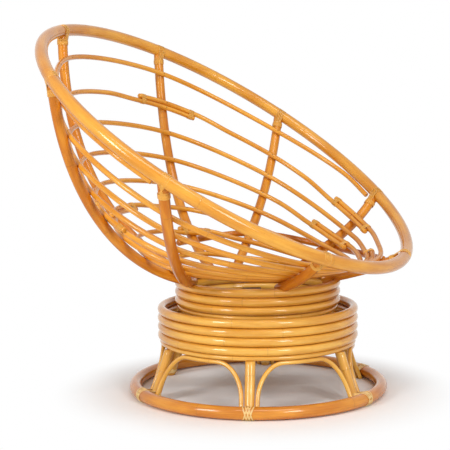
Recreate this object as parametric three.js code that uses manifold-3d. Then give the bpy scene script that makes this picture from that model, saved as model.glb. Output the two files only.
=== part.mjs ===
// A papasan chair of rattan poles: a tilted bowl on a drum base that swivels and rocks.
// Millimetres, +Z up, the front toward -Y. The origin lies on the floor under the middle of the rim.
// Angles round the chair are measured from the front toward +X.
import * as THREE from 'three';
import { mergeVertices } from 'three/addons/utils/BufferGeometryUtils.js';
import Module from 'manifold-3d';

const wasm = await Module();
wasm.setup();

const degrees = THREE.MathUtils.degToRad;
const UP = new THREE.Vector3(0, 0, 1);

// Fits
const SEAT_GAP = 0.3;
const RUNNING_GAP = 0.5;
const CUT_OVERRUN = 4;

// Bowl rim
const RIM_RADIUS = 534;
const RIM_POLE_RADIUS = 16.2;
const RIM_HEIGHT = 642;
const RIM_TILT = degrees(33.9);
const RIM_SET_BACK = 76;
const RIM_SEGMENTS = 48;

// Bowl ribs: each row gives where a foot crosses the drum's top ring, its slopes at foot and rim, and
// how far the hoops sag toward the foot, as a share of the rib's length
const RIB_POLE_RADIUS = 13;
const RIB_NOTCH_DEPTH = 10;
const RIB_FOOT_RUN = 34;
const RIB_FIRST_ANGLE = degrees(12.5);
const RIB_HANDLE_SHARE = 0.38;
const RIB_STEP_LENGTH = 50;
const RIB_SHAPES = [
  { foot: 21, footSlope: 14, rimSlope: 24, hoopSag: 0.1 },
  { foot: 80, footSlope: 31, rimSlope: 50, hoopSag: 0.13 },
  { foot: 131, footSlope: 34, rimSlope: 69, hoopSag: 0.055 },
  { foot: 155, footSlope: 23, rimSlope: 86, hoopSag: 0.012 },
  { foot: 193, footSlope: 23, rimSlope: 91, hoopSag: 0 },
  { foot: 224, footSlope: 12, rimSlope: 85, hoopSag: 0 },
  { foot: 240, footSlope: 4, rimSlope: 73, hoopSag: 0 },
  { foot: 314, footSlope: 16, rimSlope: 33, hoopSag: 0.18 },
];

// Bowl hoops: where each lies along every rib, as a share of the rib's length from the rim
const HOOP_POLE_RADIUS = 6.75;
const HOOP_SHARES = [0.09, 0.21, 0.32, 0.43, 0.54, 0.65, 0.765, 0.9];
const HOOP_LEAST_SPACING = 15.5;
const FIRST_HOOP_LEAST_RUN = 51;
const HOOP_STEPS_BETWEEN_RIBS = 3;
const OPEN_HOOP_RIBS = [1, 6];
const OPEN_HOOP_TOUCH = degrees(12.5);

// Splices of the hoops: the ribs that each hoop's splices lie over, counted round from the front
const SPLICE_RIBS = [[], [1, 3], [0], [1], [5], [4], [3], [5]];
const SPLICE_OVERLAP = 190;
const SPLICE_BLEND = 130;
const SPLICE_BAND_WIDTH = 12;
const SPLICE_BAND_THICKNESS = 1;

// Outer brace under the ribs from the front to the back: its shares of their lengths from the rim
const BRACE_POLE_RADIUS = 9;
const BRACE_SHARES = [0.05, 0.55, 0.68, 0.77, 0.8];
const BRACE_REACH_SHARES = [0.8, 3.7];
const BRACE_STEPS = 18;

// Lashings of split peel at the rim
const PEEL_WIDTH = 1.9;
const PEEL_THICKNESS = 1;
const PEEL_NECK_PITCH = 3.1;
const PEEL_RIM_PITCH = 3.7;
const LASHING_LOOPS = 4;
const LASHING_MOST_TURNS = 2;

// Drum stacks
const STACK_POLE_RADIUS = 11;
const THIN_POLE_RADIUS = 5.5;
const STACK_SEGMENTS = 24;
const STACK_SIDES = 6;
const BASE_STACK_RADIUS = 247;
const BASE_STACK_UNDERSIDE = 126.5;
const BASE_STACK_RINGS = 4;
const ROCKING_ROOM = 23;
const SEAT_STACK_RINGS = 3;
const STACK_OVERLAP = 11;

// Floor ring, legs and arches
const FLOOR_RING_RADIUS = 317;
const FLOOR_RING_POLE_RADIUS = 15.7;
const FLOOR_RING_SEGMENTS = 30;
const FLOOR_BAND_WIDTH = 28;
const FLOOR_BAND_THICKNESS = 1;
const LEG_COUNT = 6;
const LEG_FIRST_ANGLE = degrees(-69);
const LEG_POLE_RADIUS = 12.5;
const ARCH_POLE_RADIUS = 5.75;
const ARCH_SIDES = 6;
const ARCH_SPRING_HEIGHT = 38;
const ARCH_CORNER_WIDTH = 62;
const ARCH_CORNER_STEPS = 4;

// Cross boards
const BOARD_WIDTH = 50;
const BOARD_THICKNESS = 18;
const BOARD_ANGLE = degrees(-60);

// Swivel and rocker
const PLATE_THICKNESS = 3;
const BASE_PLATE_SIDE = 150;
const PLATE_CORNER_RADIUS = 12;
const BEARING_RADIUS = 50;
const BEARING_WIDTH = 12;
const BEARING_HEIGHT = 5;
const HEAD_RADIUS = 64;
const PIVOT_RISE = 28;
const PIVOT_PIN_RADIUS = 5;
const PIN_HEAD_RADIUS = 8;
const PIN_HEAD_LENGTH = 3;
const EAR_SPACING = 84;
const EAR_THICKNESS = 4;
const EAR_WALL = 8;
const EAR_FOOT_WIDTH = 56;
const ROCKER_PLATE_WIDTH = 120;
const ROCKER_PLATE_LENGTH = 140;
const SPRING_REACH = 46;
const SPRING_RADIUS = 15;
const SPRING_WIRE_RADIUS = 2.75;
const SPRING_CURLS = 5;
const SPRING_STEPS_PER_CURL = 8;
const SPRING_SIDES = 5;
const ROUND_SEGMENTS = 32;
const PIN_SEGMENTS = 16;

// Materials
const rattan = (color) => new THREE.MeshStandardMaterial({ color, roughness: 0.35, metalness: 0 });
const rimRattan = rattan(0xcf8a34);
const ribRattan = rattan(0xb96f28);
const hoopRattan = rattan(0xd4933c);
const stackRattan = rattan(0xdc9a45);
const peel = rattan(0xe2bd7c);
const boardWood = new THREE.MeshStandardMaterial({ color: 0x6b4a2c, roughness: 0.7, metalness: 0 });
const blackSteel = new THREE.MeshStandardMaterial({ color: 0x2a2b2d, roughness: 0.45, metalness: 0.8 });
const springSteel = new THREE.MeshStandardMaterial({ color: 0x8d9094, roughness: 0.3, metalness: 1 });

// Derived sizes of the drum
const seatStackRadius = BASE_STACK_RADIUS - 2 * STACK_POLE_RADIUS - ROCKING_ROOM;
const stackPitch = 2 * STACK_POLE_RADIUS + SEAT_GAP;
const firstRingRise = 2 * THIN_POLE_RADIUS + SEAT_GAP + STACK_POLE_RADIUS;
const baseStackTop =
  BASE_STACK_UNDERSIDE + firstRingRise + (BASE_STACK_RINGS - 1) * stackPitch + STACK_POLE_RADIUS;
const seatStackUnderside = baseStackTop - STACK_OVERLAP;
const seatTopRingHeight = seatStackUnderside + firstRingRise + (SEAT_STACK_RINGS - 1) * stackPitch;

// Frame of the tilted rim, seen from the swivel axis
const rimCentre = new THREE.Vector3(0, RIM_SET_BACK, RIM_HEIGHT);
const rimNormal = new THREE.Vector3(0, -Math.sin(RIM_TILT), Math.cos(RIM_TILT));
const rimFront = new THREE.Vector3(0, -Math.cos(RIM_TILT), -Math.sin(RIM_TILT));
const rimSide = new THREE.Vector3(1, 0, 0);

const around = (radius, angle, height) =>
  new THREE.Vector3(radius * Math.sin(angle), -radius * Math.cos(angle), height);

const combine = (...terms) => {
  const sum = new THREE.Vector3();
  for (const [vector, length] of terms) sum.addScaledVector(vector, length);
  return sum;
};

// Regular section with flats on its first axis, its radius taken to the flats
function poleSection(radius, sides) {
  const corner = radius / Math.cos(Math.PI / sides);
  const points = [];
  for (let i = 0; i < sides; i += 1) {
    const angle = ((i + 0.5) * 2 * Math.PI) / sides;
    points.push(new THREE.Vector2(corner * Math.cos(angle), corner * Math.sin(angle)));
  }
  return points;
}

// A path whose section is turned and mitred by two axes given at each point
class GuidedPath extends THREE.Curve {
  constructor(points, firstAxes, secondAxes) {
    super();
    this.points = points;
    this.firstAxes = firstAxes;
    this.secondAxes = secondAxes;
  }

  getPoint(t, target = new THREE.Vector3()) {
    const place = t * (this.points.length - 1);
    const index = Math.min(Math.floor(place), this.points.length - 2);
    return target.lerpVectors(this.points[index], this.points[index + 1], place - index);
  }

  getSpacedPoints() {
    return this.points;
  }

  computeFrenetFrames() {
    return { tangents: this.points, normals: this.firstAxes, binormals: this.secondAxes };
  }
}

function sweep(section, path) {
  return new THREE.ExtrudeGeometry(new THREE.Shape(section), {
    steps: path.points.length - 1,
    extrudePath: path,
    bevelEnabled: false,
  });
}

// Section axes along a run of points: the first axis follows the given facings
function guide(points, facings) {
  const firstAxes = [];
  const secondAxes = [];
  points.forEach((point, i) => {
    const before = points[Math.max(i - 1, 0)];
    const after = points[Math.min(i + 1, points.length - 1)];
    const tangent = after.clone().sub(before).normalize();
    const facing = facings[i].clone();
    facing.addScaledVector(tangent, -facing.dot(tangent)).normalize();
    firstAxes.push(facing);
    secondAxes.push(tangent.clone().cross(facing));
  });
  return new GuidedPath(points, firstAxes, secondAxes);
}

// Closed ring round +Z with flats above and below, and a facet centred on the given angle
function ringGeometry(radius, poleRadius, sides, segments, facetAngle) {
  const profile = poleSection(poleRadius, sides).map(
    (point) => new THREE.Vector2(radius + point.y, -point.x),
  );
  profile.push(profile[0].clone());
  const geometry = new THREE.LatheGeometry(profile, segments, facetAngle - Math.PI / segments);
  return geometry.rotateX(Math.PI / 2);
}

function solidOf(geometry) {
  const bare = geometry.clone();
  bare.deleteAttribute('normal');
  bare.deleteAttribute('uv');
  const merged = mergeVertices(bare, SEAT_GAP / 1000);
  return new wasm.Manifold(
    new wasm.Mesh({
      numProp: 3,
      vertProperties: merged.attributes.position.array,
      triVerts: new Uint32Array(merged.index.array),
    }),
  );
}

function geometryOf(solid) {
  const mesh = solid.getMesh();
  const geometry = new THREE.BufferGeometry();
  geometry.setAttribute('position', new THREE.BufferAttribute(mesh.vertProperties, 3));
  geometry.setIndex(new THREE.BufferAttribute(mesh.triVerts, 1));
  const faceted = geometry.toNonIndexed();
  faceted.computeVertexNormals();
  return faceted;
}

const box = (width, depth, height, x, y, z) =>
  new THREE.BoxGeometry(width, depth, height).translate(x, y, z);

const chair = new THREE.Group();
const frame = new THREE.Group();
frame.position.y = -RIM_SET_BACK;
chair.add(frame);

function add(name, geometry, material) {
  const mesh = new THREE.Mesh(geometry, material);
  mesh.name = name;
  frame.add(mesh);
  return mesh;
}

// Rim
const rimFacetRadius = RIM_RADIUS * Math.cos(Math.PI / RIM_SEGMENTS);
const rimDirection = (angle) => combine([rimFront, Math.cos(angle)], [rimSide, Math.sin(angle)]);
const rimTangent = (angle) => combine([rimFront, -Math.sin(angle)], [rimSide, Math.cos(angle)]);

function rimGeometry(poleRadius) {
  return ringGeometry(RIM_RADIUS, poleRadius, 8, RIM_SEGMENTS, RIB_FIRST_ANGLE);
}

function addRim() {
  const rim = add('rim', rimGeometry(RIM_POLE_RADIUS), rimRattan);
  rim.position.copy(rimCentre);
  rim.rotation.x = RIM_TILT;
}

// Ribs: a cubic from inside the drum's top ring, over the ring and up to the rim
function ribCurve(shape, angle) {
  const head = rimCentre.clone().addScaledVector(rimDirection(angle), rimFacetRadius);
  const crossingHeight = seatTopRingHeight + STACK_POLE_RADIUS + RIB_POLE_RADIUS - RIB_NOTCH_DEPTH;
  const crossing = around(seatStackRadius, degrees(shape.foot), crossingHeight);
  const outward = head.clone().sub(crossing).setZ(0).normalize();
  const slope = (value) =>
    combine([outward, Math.cos(degrees(value))], [UP, Math.sin(degrees(value))]);
  const footSlope = slope(shape.footSlope);
  const foot = crossing.addScaledVector(footSlope, -RIB_FOOT_RUN);
  const reach = RIB_HANDLE_SHARE * head.distanceTo(foot);
  const curve = new THREE.CubicBezierCurve3(
    foot,
    foot.clone().addScaledVector(footSlope, reach),
    head.clone().addScaledVector(slope(shape.rimSlope), -reach),
    head,
  );
  const length = curve.getLength();
  const points = curve.getSpacedPoints(Math.round(length / RIB_STEP_LENGTH)).reverse();
  return { points, length, inward: UP.clone().sub(outward), hoopSag: shape.hoopSag };
}

const ribAngle = (index) => RIB_FIRST_ANGLE + (index * 2 * Math.PI) / RIB_SHAPES.length;
const ribs = RIB_SHAPES.map((shape, index) => ribCurve(shape, ribAngle(index)));

// The rib's own axes at a distance from the rim: along it toward the rim and into the bowl
function pointOnRib(rib, distance) {
  let left = distance;
  for (let i = 0; i + 1 < rib.points.length; i += 1) {
    const step = rib.points[i].distanceTo(rib.points[i + 1]);
    if (left <= step || i + 2 === rib.points.length)
      return rib.points[i].clone().lerp(rib.points[i + 1], left / step);
    left -= step;
  }
  return rib.points[0].clone();
}

function ribAxes(rib, distance, halfSpan) {
  const above = pointOnRib(rib, distance - halfSpan);
  const below = pointOnRib(rib, distance + halfSpan);
  const along = above.clone().sub(below).normalize();
  const inward = rib.inward.clone();
  inward.addScaledVector(along, -inward.dot(along)).normalize();
  return { point: above.lerp(below, 0.5), along, inward };
}

function addRibs() {
  const rimSpace = solidOf(
    rimGeometry(RIM_POLE_RADIUS + SEAT_GAP)
      .rotateX(RIM_TILT)
      .translate(0, rimCentre.y, rimCentre.z),
  );
  const ringSpace = solidOf(
    ringGeometry(
      seatStackRadius,
      STACK_POLE_RADIUS + SEAT_GAP,
      STACK_SIDES,
      STACK_SEGMENTS,
      BOARD_ANGLE,
    ).translate(0, 0, seatTopRingHeight),
  );
  ribs.forEach((rib, index) => {
    const facings = rib.points.map(() => rib.inward);
    const pole = solidOf(sweep(poleSection(RIB_POLE_RADIUS, 8), guide(rib.points, facings)));
    add(`rib_${index + 1}`, geometryOf(pole.subtract(rimSpace).subtract(ringSpace)), ribRattan);
  });
}

const hoopOffset = RIB_POLE_RADIUS + HOOP_POLE_RADIUS + SEAT_GAP;
const SPLICE_HALF_SHIFT = HOOP_POLE_RADIUS + SEAT_GAP / 2;

// For each rib, the distances from the rim at which the hoops cross it
const hoopDistances = ribs.map((rib, ribIndex) => {
  const distances = [];
  let least = FIRST_HOOP_LEAST_RUN;
  const [openFrom, openTo] = OPEN_HOOP_RIBS;
  HOOP_SHARES.forEach((share, hoopIndex) => {
    if (hoopIndex === 0 && (ribIndex <= openFrom || ribIndex >= openTo)) {
      distances.push(null);
      return;
    }
    const sagged = share + rib.hoopSag * 4 * share * (1 - share);
    const distance = Math.max(sagged * rib.length, least);
    least = distance + HOOP_LEAST_SPACING;
    distances.push(distance);
  });
  return distances;
});

// Where a pole crosses ribs on one side of them: set square to both poles, clear of the rib's corners
const SETTLE_ROUNDS = 3;

function settle(spots, closed, side, poleRadius) {
  const span = side > 0 ? poleRadius : SEAT_GAP;
  const axes = spots.map(({ rib, distance }) => (rib ? ribAxes(rib, distance, span) : null));
  let crossings = spots.map((spot, i) => {
    if (!spot.rib) return spot;
    const point = axes[i].point.clone().addScaledVector(axes[i].inward, side * hoopOffset);
    return { point, facing: axes[i].inward.clone().multiplyScalar(-side) };
  });
  const spans = closed ? spots.length : spots.length - 1;
  for (let round = 0; round < SETTLE_ROUNDS; round += 1) {
    const curve = new THREE.CatmullRomCurve3(
      crossings.map((crossing) => crossing.point),
      closed,
      'centripetal',
    );
    crossings = crossings.map((crossing, i) => {
      if (!spots[i].rib) return crossing;
      const { point, along, inward } = axes[i];
      const normal = along.clone().cross(curve.getTangent(i / spans)).normalize();
      if (normal.dot(inward) * side < 0) normal.negate();
      const turn = Math.acos(Math.min(1, Math.abs(normal.dot(inward))));
      const corner = RIB_POLE_RADIUS / Math.cos(Math.PI / 8);
      const reach = corner * Math.cos((turn % (Math.PI / 4)) - Math.PI / 8);
      const gap = side > 0 ? SEAT_GAP : 2 * SEAT_GAP;
      return {
        point: point.clone().addScaledVector(normal, reach + poleRadius + gap),
        facing: normal.negate(),
      };
    });
  }
  return crossings;
}

// Points and facings along a curve through crossings, at places counted in crossings
function followCrossings(crossings, closed, places, shiftAt) {
  const curve = new THREE.CatmullRomCurve3(
    crossings.map((crossing) => crossing.point),
    closed,
    'centripetal',
  );
  const spans = closed ? crossings.length : crossings.length - 1;
  const points = [];
  const facings = [];
  for (const place of places) {
    const wrapped = closed ? THREE.MathUtils.euclideanModulo(place, spans) : place;
    const index = Math.min(Math.floor(wrapped), crossings.length - 1);
    const next = closed ? (index + 1) % crossings.length : Math.min(index + 1, crossings.length - 1);
    const facing = crossings[index].facing.clone().lerp(crossings[next].facing, wrapped - index);
    const tangent = curve.getTangent(wrapped / spans);
    facing.addScaledVector(tangent, -facing.dot(tangent)).normalize();
    const sideways = tangent.clone().cross(facing);
    points.push(curve.getPoint(wrapped / spans).addScaledVector(sideways, shiftAt(place)));
    facings.push(facing);
  }
  return { points, facings };
}

// Uppermost hoop: an open pole that runs up against the rim and ends there beside two lashings
function addOpenHoop() {
  const endDistance = RIM_POLE_RADIUS + HOOP_POLE_RADIUS + SEAT_GAP;
  const endTurn = (RIB_POLE_RADIUS + PEEL_WIDTH + HOOP_POLE_RADIUS) / RIM_RADIUS;
  const againstRim = (ribIndex, turn) => {
    const angle = ribAngle(ribIndex) + turn;
    const down = combine([rimNormal, -1], [rimDirection(angle), -0.35]).normalize();
    const point = rimCentre.clone().addScaledVector(rimDirection(angle), rimFacetRadius);
    const corner = 1 / Math.cos(Math.PI / 8);
    point.addScaledVector(down, endDistance * corner);
    return { point, facing: down.clone().negate() };
  };
  const [firstRib, lastRib] = OPEN_HOOP_RIBS;
  const spots = [againstRim(firstRib, endTurn), againstRim(firstRib, endTurn + OPEN_HOOP_TOUCH)];
  for (let index = firstRib + 1; index < lastRib; index += 1)
    spots.push({ rib: ribs[index], distance: hoopDistances[index][0] });
  spots.push(againstRim(lastRib, -endTurn - OPEN_HOOP_TOUCH), againstRim(lastRib, -endTurn));
  const crossings = settle(spots, false, 1, HOOP_POLE_RADIUS);
  const steps = (crossings.length - 1) * HOOP_STEPS_BETWEEN_RIBS;
  const places = Array.from({ length: steps + 1 }, (_, i) => i / HOOP_STEPS_BETWEEN_RIBS);
  const run = followCrossings(crossings, false, places, () => 0);
  const path = guide(run.points, run.facings);
  add('hoop_1', sweep(poleSection(HOOP_POLE_RADIUS, 6), path), hoopRattan);
}

// A band of peel round both ends of a splice
function spliceBand(crossings, place) {
  const spot = followCrossings(crossings, true, [place - 0.01, place, place + 0.01], () => 0);
  const tangent = spot.points[2].clone().sub(spot.points[0]).normalize();
  const facing = spot.facings[1].clone().addScaledVector(tangent, -spot.facings[1].dot(tangent));
  facing.normalize();
  const sideways = tangent.clone().cross(facing);
  const round = HOOP_POLE_RADIUS + SPLICE_BAND_THICKNESS;
  const outline = new THREE.Shape();
  outline.absarc(0, SPLICE_HALF_SHIFT, round, 0, Math.PI, false);
  outline.absarc(0, -SPLICE_HALF_SHIFT, round, Math.PI, 2 * Math.PI, false);
  const ends = [-0.5, 0.5].map((share) =>
    spot.points[1].clone().addScaledVector(tangent, share * SPLICE_BAND_WIDTH),
  );
  const path = new GuidedPath(ends, [facing, facing], [sideways, sideways]);
  return solidOf(sweep(outline.getSpacedPoints(8).slice(0, -1), path));
}

// Where a splice lies over a rib, with its half length and the run that brings the ends into line
function spliceOver(crossings, rib) {
  const count = crossings.length;
  const next = crossings[(rib + 1) % count].point.distanceTo(crossings[rib].point);
  const before = crossings[(rib + count - 1) % count].point.distanceTo(crossings[rib].point);
  const room = Math.min(next, before);
  return {
    rib,
    reach: Math.min(SPLICE_OVERLAP / 2, room / 3) / room,
    blend: Math.min(SPLICE_BLEND, room / 2) / room,
    bandReach: (Math.min(SPLICE_OVERLAP / 2, room / 3) - SPLICE_BAND_WIDTH) / room,
  };
}

// One length of pole from a splice to the next, below the one before it and above the one after it
function hoopLength(crossings, from, to) {
  const start = from.rib;
  const end = to.rib > start ? to.rib : to.rib + crossings.length;
  const shiftAt = (place) => {
    const fromStart = place - start;
    const fromEnd = end - place;
    const { smoothstep } = THREE.MathUtils;
    if (fromStart < fromEnd)
      return -SPLICE_HALF_SHIFT * (1 - smoothstep(fromStart, from.reach, from.reach + from.blend));
    return SPLICE_HALF_SHIFT * (1 - smoothstep(fromEnd, to.reach, to.reach + to.blend));
  };
  const first = start + from.reach + from.blend;
  const last = end - to.reach - to.blend;
  const places = [start - from.reach, start, start + from.reach, first - from.blend / 2, first];
  const step = 1 / HOOP_STEPS_BETWEEN_RIBS;
  for (let i = 1; start + i * step < last - step / 3; i += 1)
    if (start + i * step > first + step / 3) places.push(start + i * step);
  places.push(last, last + to.blend / 2, end - to.reach, end, end + to.reach);
  const run = followCrossings(crossings, true, places, shiftAt);
  return solidOf(sweep(poleSection(HOOP_POLE_RADIUS, 6), guide(run.points, run.facings)));
}

function addClosedHoop(hoopIndex) {
  const spots = ribs.map((rib, ribIndex) => ({ rib, distance: hoopDistances[ribIndex][hoopIndex] }));
  const crossings = settle(spots, true, 1, HOOP_POLE_RADIUS);
  const splices = SPLICE_RIBS[hoopIndex].map((rib) => spliceOver(crossings, rib));
  const lengths = splices.map((splice, i) =>
    hoopLength(crossings, splice, splices[(i + 1) % splices.length]),
  );
  const bands = splices.flatMap(({ rib, bandReach }) => [
    spliceBand(crossings, rib - bandReach),
    spliceBand(crossings, rib + bandReach),
  ]);
  const solid = [...lengths, ...bands].reduce((sum, piece) => sum.add(piece));
  add(`hoop_${hoopIndex + 1}`, geometryOf(solid), hoopRattan);
}

function addHoops() {
  addOpenHoop();
  for (let hoop = 1; hoop < HOOP_SHARES.length; hoop += 1) addClosedHoop(hoop);
}

// Outer brace: an open pole under the ribs from the front right to the back
function addBrace() {
  const spots = BRACE_SHARES.map((share, ribIndex) => ({
    rib: ribs[ribIndex],
    distance: share * ribs[ribIndex].length,
  }));
  const crossings = settle(spots, false, -1, BRACE_POLE_RADIUS);
  const [from, to] = BRACE_REACH_SHARES.map((share) => crossings.length - 1 - share);
  const places = Array.from({ length: BRACE_STEPS + 1 }, (_, i) =>
    THREE.MathUtils.lerp(from, to, i / BRACE_STEPS),
  );
  const snapped = places.map((place) => {
    const nearest = Math.round(place);
    const close = Math.abs(place - nearest) < Math.abs(to - from) / BRACE_STEPS / 2;
    return close ? nearest : place;
  });
  const run = followCrossings(crossings, false, snapped, () => 0);
  const path = guide(run.points, run.facings);
  add('outer_brace', sweep(poleSection(BRACE_POLE_RADIUS, 8), path), ribRattan);
}

// The taut way of a strand over the rim, seen along the rim: a hull from one neck point to the other
function overRim(corners, inner, outer) {
  const cross = (a, b, c) => (b.x - a.x) * (c.y - a.y) - (b.y - a.y) * (c.x - a.x);
  const chain = [inner];
  for (const corner of [...corners, outer]) {
    while (chain.length > 1 && cross(chain[chain.length - 2], chain[chain.length - 1], corner) <= 0)
      chain.pop();
    chain.push(corner);
  }
  return chain.slice(1, -1);
}

// Mitred flat strip along sharp corners, each with its outward facing
function strip(corners) {
  const firstAxes = [];
  const secondAxes = [];
  corners.forEach(({ point, facing }, i) => {
    const before = corners[Math.max(i - 1, 0)].point;
    const after = corners[Math.min(i + 1, corners.length - 1)].point;
    const into = (i === 0 ? after.clone().sub(point) : point.clone().sub(before)).normalize();
    const onward = (i === corners.length - 1 ? into.clone() : after.clone().sub(point)).normalize();
    const tangent = into.clone().add(onward).normalize();
    const out = facing.clone().addScaledVector(tangent, -facing.dot(tangent)).normalize();
    const across = tangent.clone().cross(out);
    const outFlat = out.clone().addScaledVector(into, -out.dot(into)).normalize();
    const acrossFlat = into.clone().cross(out).normalize();
    firstAxes.push(out.multiplyScalar(1 / Math.max(out.dot(outFlat), 0.6)));
    secondAxes.push(across.multiplyScalar(1 / Math.max(across.dot(acrossFlat), 0.6)));
  });
  return new GuidedPath(corners.map((corner) => corner.point), firstAxes, secondAxes);
}

const peelSection = [
  new THREE.Vector2(-PEEL_THICKNESS / 2, -PEEL_WIDTH / 2),
  new THREE.Vector2(PEEL_THICKNESS / 2, -PEEL_WIDTH / 2),
  new THREE.Vector2(PEEL_THICKNESS / 2, PEEL_WIDTH / 2),
  new THREE.Vector2(-PEEL_THICKNESS / 2, PEEL_WIDTH / 2),
];

// Lashing: loops over the rim with half turns round the rib's neck, then full turns below them
function lashingCorners(index) {
  const rib = ribs[index];
  const angle = ribAngle(index);
  const head = ribAxes(rib, 0, RIM_POLE_RADIUS);
  const along = rimTangent(angle);
  const centre = rib.points[0];
  const lift = head.along.clone().addScaledVector(along, -head.along.dot(along)).normalize();
  const inward = along.clone().cross(lift);
  if (inward.dot(head.inward) < 0) inward.negate();
  const layer = SEAT_GAP + PEEL_THICKNESS / 2;
  const cornerRadius = (RIM_POLE_RADIUS + layer) / Math.cos(Math.PI / 8);
  const flat = (vector) => new THREE.Vector2(vector.dot(inward), vector.dot(lift));
  const turnFromBelow = (corner) =>
    THREE.MathUtils.euclideanModulo(corner.angle() + Math.PI / 2, 2 * Math.PI);
  const rimCorners = poleSection(1, 8)
    .map((share) => share.normalize().multiplyScalar(cornerRadius))
    .map((share) => flat(combine([rimDirection(angle), share.x], [rimNormal, share.y])))
    .sort((a, b) => turnFromBelow(a) - turnFromBelow(b));
  const neck = RIB_POLE_RADIUS / Math.cos(Math.PI / 8) + layer;
  const neckCorner = neck / Math.cos(Math.PI / 8);
  const lean = head.along.dot(along);
  const clear = RIM_POLE_RADIUS / Math.cos(Math.PI / 8) + SEAT_GAP + PEEL_WIDTH / 2;
  const nearest = (clear + neckCorner * Math.abs(lean)) / Math.sqrt(1 - lean * lean);
  const start = nearest + PEEL_NECK_PITCH;
  const drift = (-nearest * lean) / 2;
  const onNeck = (distance, toInside, toSide) => {
    const axes = ribAxes(rib, distance, PEEL_WIDTH);
    const side = along.clone().addScaledVector(axes.along, -along.dot(axes.along)).normalize();
    const facing = side.clone().cross(axes.along).normalize();
    if (facing.dot(axes.inward) < 0) facing.negate();
    return { point: combine([axes.point, 1], [facing, toInside], [side, toSide]), facing, side };
  };
  const neckFace = (distance, sign, lateral) => {
    const spot = onNeck(distance, sign * neck, lateral);
    return { point: spot.point, facing: spot.facing.clone().multiplyScalar(sign) };
  };
  const neckTurn = (distance, turn) => {
    const spot = onNeck(distance, neckCorner * Math.cos(turn), neckCorner * Math.sin(turn));
    const facing = combine([spot.facing, Math.cos(turn)], [spot.side, Math.sin(turn)]);
    return { point: spot.point, facing };
  };
  const firstHoop = hoopDistances[index].find((distance) => distance !== null);
  const room = firstHoop - HOOP_POLE_RADIUS - SEAT_GAP - PEEL_WIDTH - start;
  const turns = Math.min(
    LASHING_MOST_TURNS,
    Math.floor(room / PEEL_NECK_PITCH) + 1 - LASHING_LOOPS,
  );
  const corners = [];
  const eighth = Math.PI / 4;
  for (let loop = 0; loop < LASHING_LOOPS; loop += 1) {
    const order = (LASHING_LOOPS - 1) / 2 - loop;
    const level = start + loop * PEEL_NECK_PITCH;
    const inner = neckFace(level - PEEL_NECK_PITCH, 1, order * PEEL_NECK_PITCH);
    const outer = neckFace(level, -1, order * PEEL_NECK_PITCH);
    const way = overRim(
      rimCorners,
      flat(inner.point.clone().sub(centre)),
      flat(outer.point.clone().sub(centre)),
    );
    corners.push(inner);
    for (const corner of way) {
      const facing = combine([inward, corner.x], [lift, corner.y]);
      const point = combine([centre, 1], [facing, 1], [along, order * PEEL_RIM_PITCH + drift]);
      corners.push({ point, facing: facing.normalize() });
    }
    corners.push(outer);
    for (let step = 0; step < 4; step += 1)
      corners.push(neckTurn(level, Math.PI - eighth / 2 - step * eighth));
  }
  const lastLevel = start + (LASHING_LOOPS - 1) * PEEL_NECK_PITCH;
  for (let turn = 1; turn <= turns; turn += 1) {
    for (let step = 0; step < 8; step += 1) {
      const drop = Math.min(Math.max(step, 0), 3) / 3;
      const level = lastLevel + (turn - 1 + drop) * PEEL_NECK_PITCH;
      corners.push(neckTurn(level, -eighth / 2 - step * eighth));
    }
  }
  return corners;
}

// Least gap of a strand to itself, measured between points of its section's corners
function leastSelfGap(path, halfWidth, halfThickness, pointStep, skipLength) {
  const samples = [];
  let travelled = 0;
  for (let i = 0; i + 1 < path.points.length; i += 1) {
    const length = path.points[i].distanceTo(path.points[i + 1]);
    const count = Math.max(1, Math.ceil(length / pointStep));
    for (let j = 0; j < count; j += 1) {
      const share = j / count;
      for (const width of [-1, 0, 1]) {
        for (const thick of [-1, 1]) {
          const at = (k) =>
            combine(
              [path.points[k], 1],
              [path.firstAxes[k], thick * halfThickness],
              [path.secondAxes[k], width * halfWidth],
            );
          samples.push({ point: at(i).lerp(at(i + 1), share), run: travelled + share * length });
        }
      }
    }
    travelled += length;
  }
  let least = Infinity;
  for (let a = 0; a < samples.length; a += 1)
    for (let b = a + 1; b < samples.length; b += 1)
      if (samples[b].run - samples[a].run > skipLength)
        least = Math.min(least, samples[a].point.distanceTo(samples[b].point));
  return least;
}

const GAP_POINT_STEP = 2.5;
const GAP_SKIP_LENGTH = 12;

function addLashings() {
  let least = Infinity;
  for (let index = 0; index < ribs.length; index += 1) {
    const path = strip(lashingCorners(index));
    add(`rim_lashing_${index + 1}`, sweep(peelSection, path), peel);
    const gap = leastSelfGap(path, PEEL_WIDTH / 2, PEEL_THICKNESS / 2, GAP_POINT_STEP, GAP_SKIP_LENGTH);
    least = Math.min(least, gap);
  }
  console.log(`least gap of a rim lashing to itself: ${least.toFixed(2)} mm`);
}

// Stacked rings: a thin one below, thick ones above
function addStack(name, radius, underside, ringCount) {
  const ring = (poleRadius) =>
    ringGeometry(radius, poleRadius, STACK_SIDES, STACK_SEGMENTS, BOARD_ANGLE);
  add(`${name}_thin_ring`, ring(THIN_POLE_RADIUS), stackRattan).position.z = underside + THIN_POLE_RADIUS;
  for (let index = 0; index < ringCount; index += 1) {
    const mesh = add(`${name}_ring_${index + 1}`, ring(STACK_POLE_RADIUS), stackRattan);
    mesh.position.z = underside + firstRingRise + index * stackPitch;
  }
}

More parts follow.
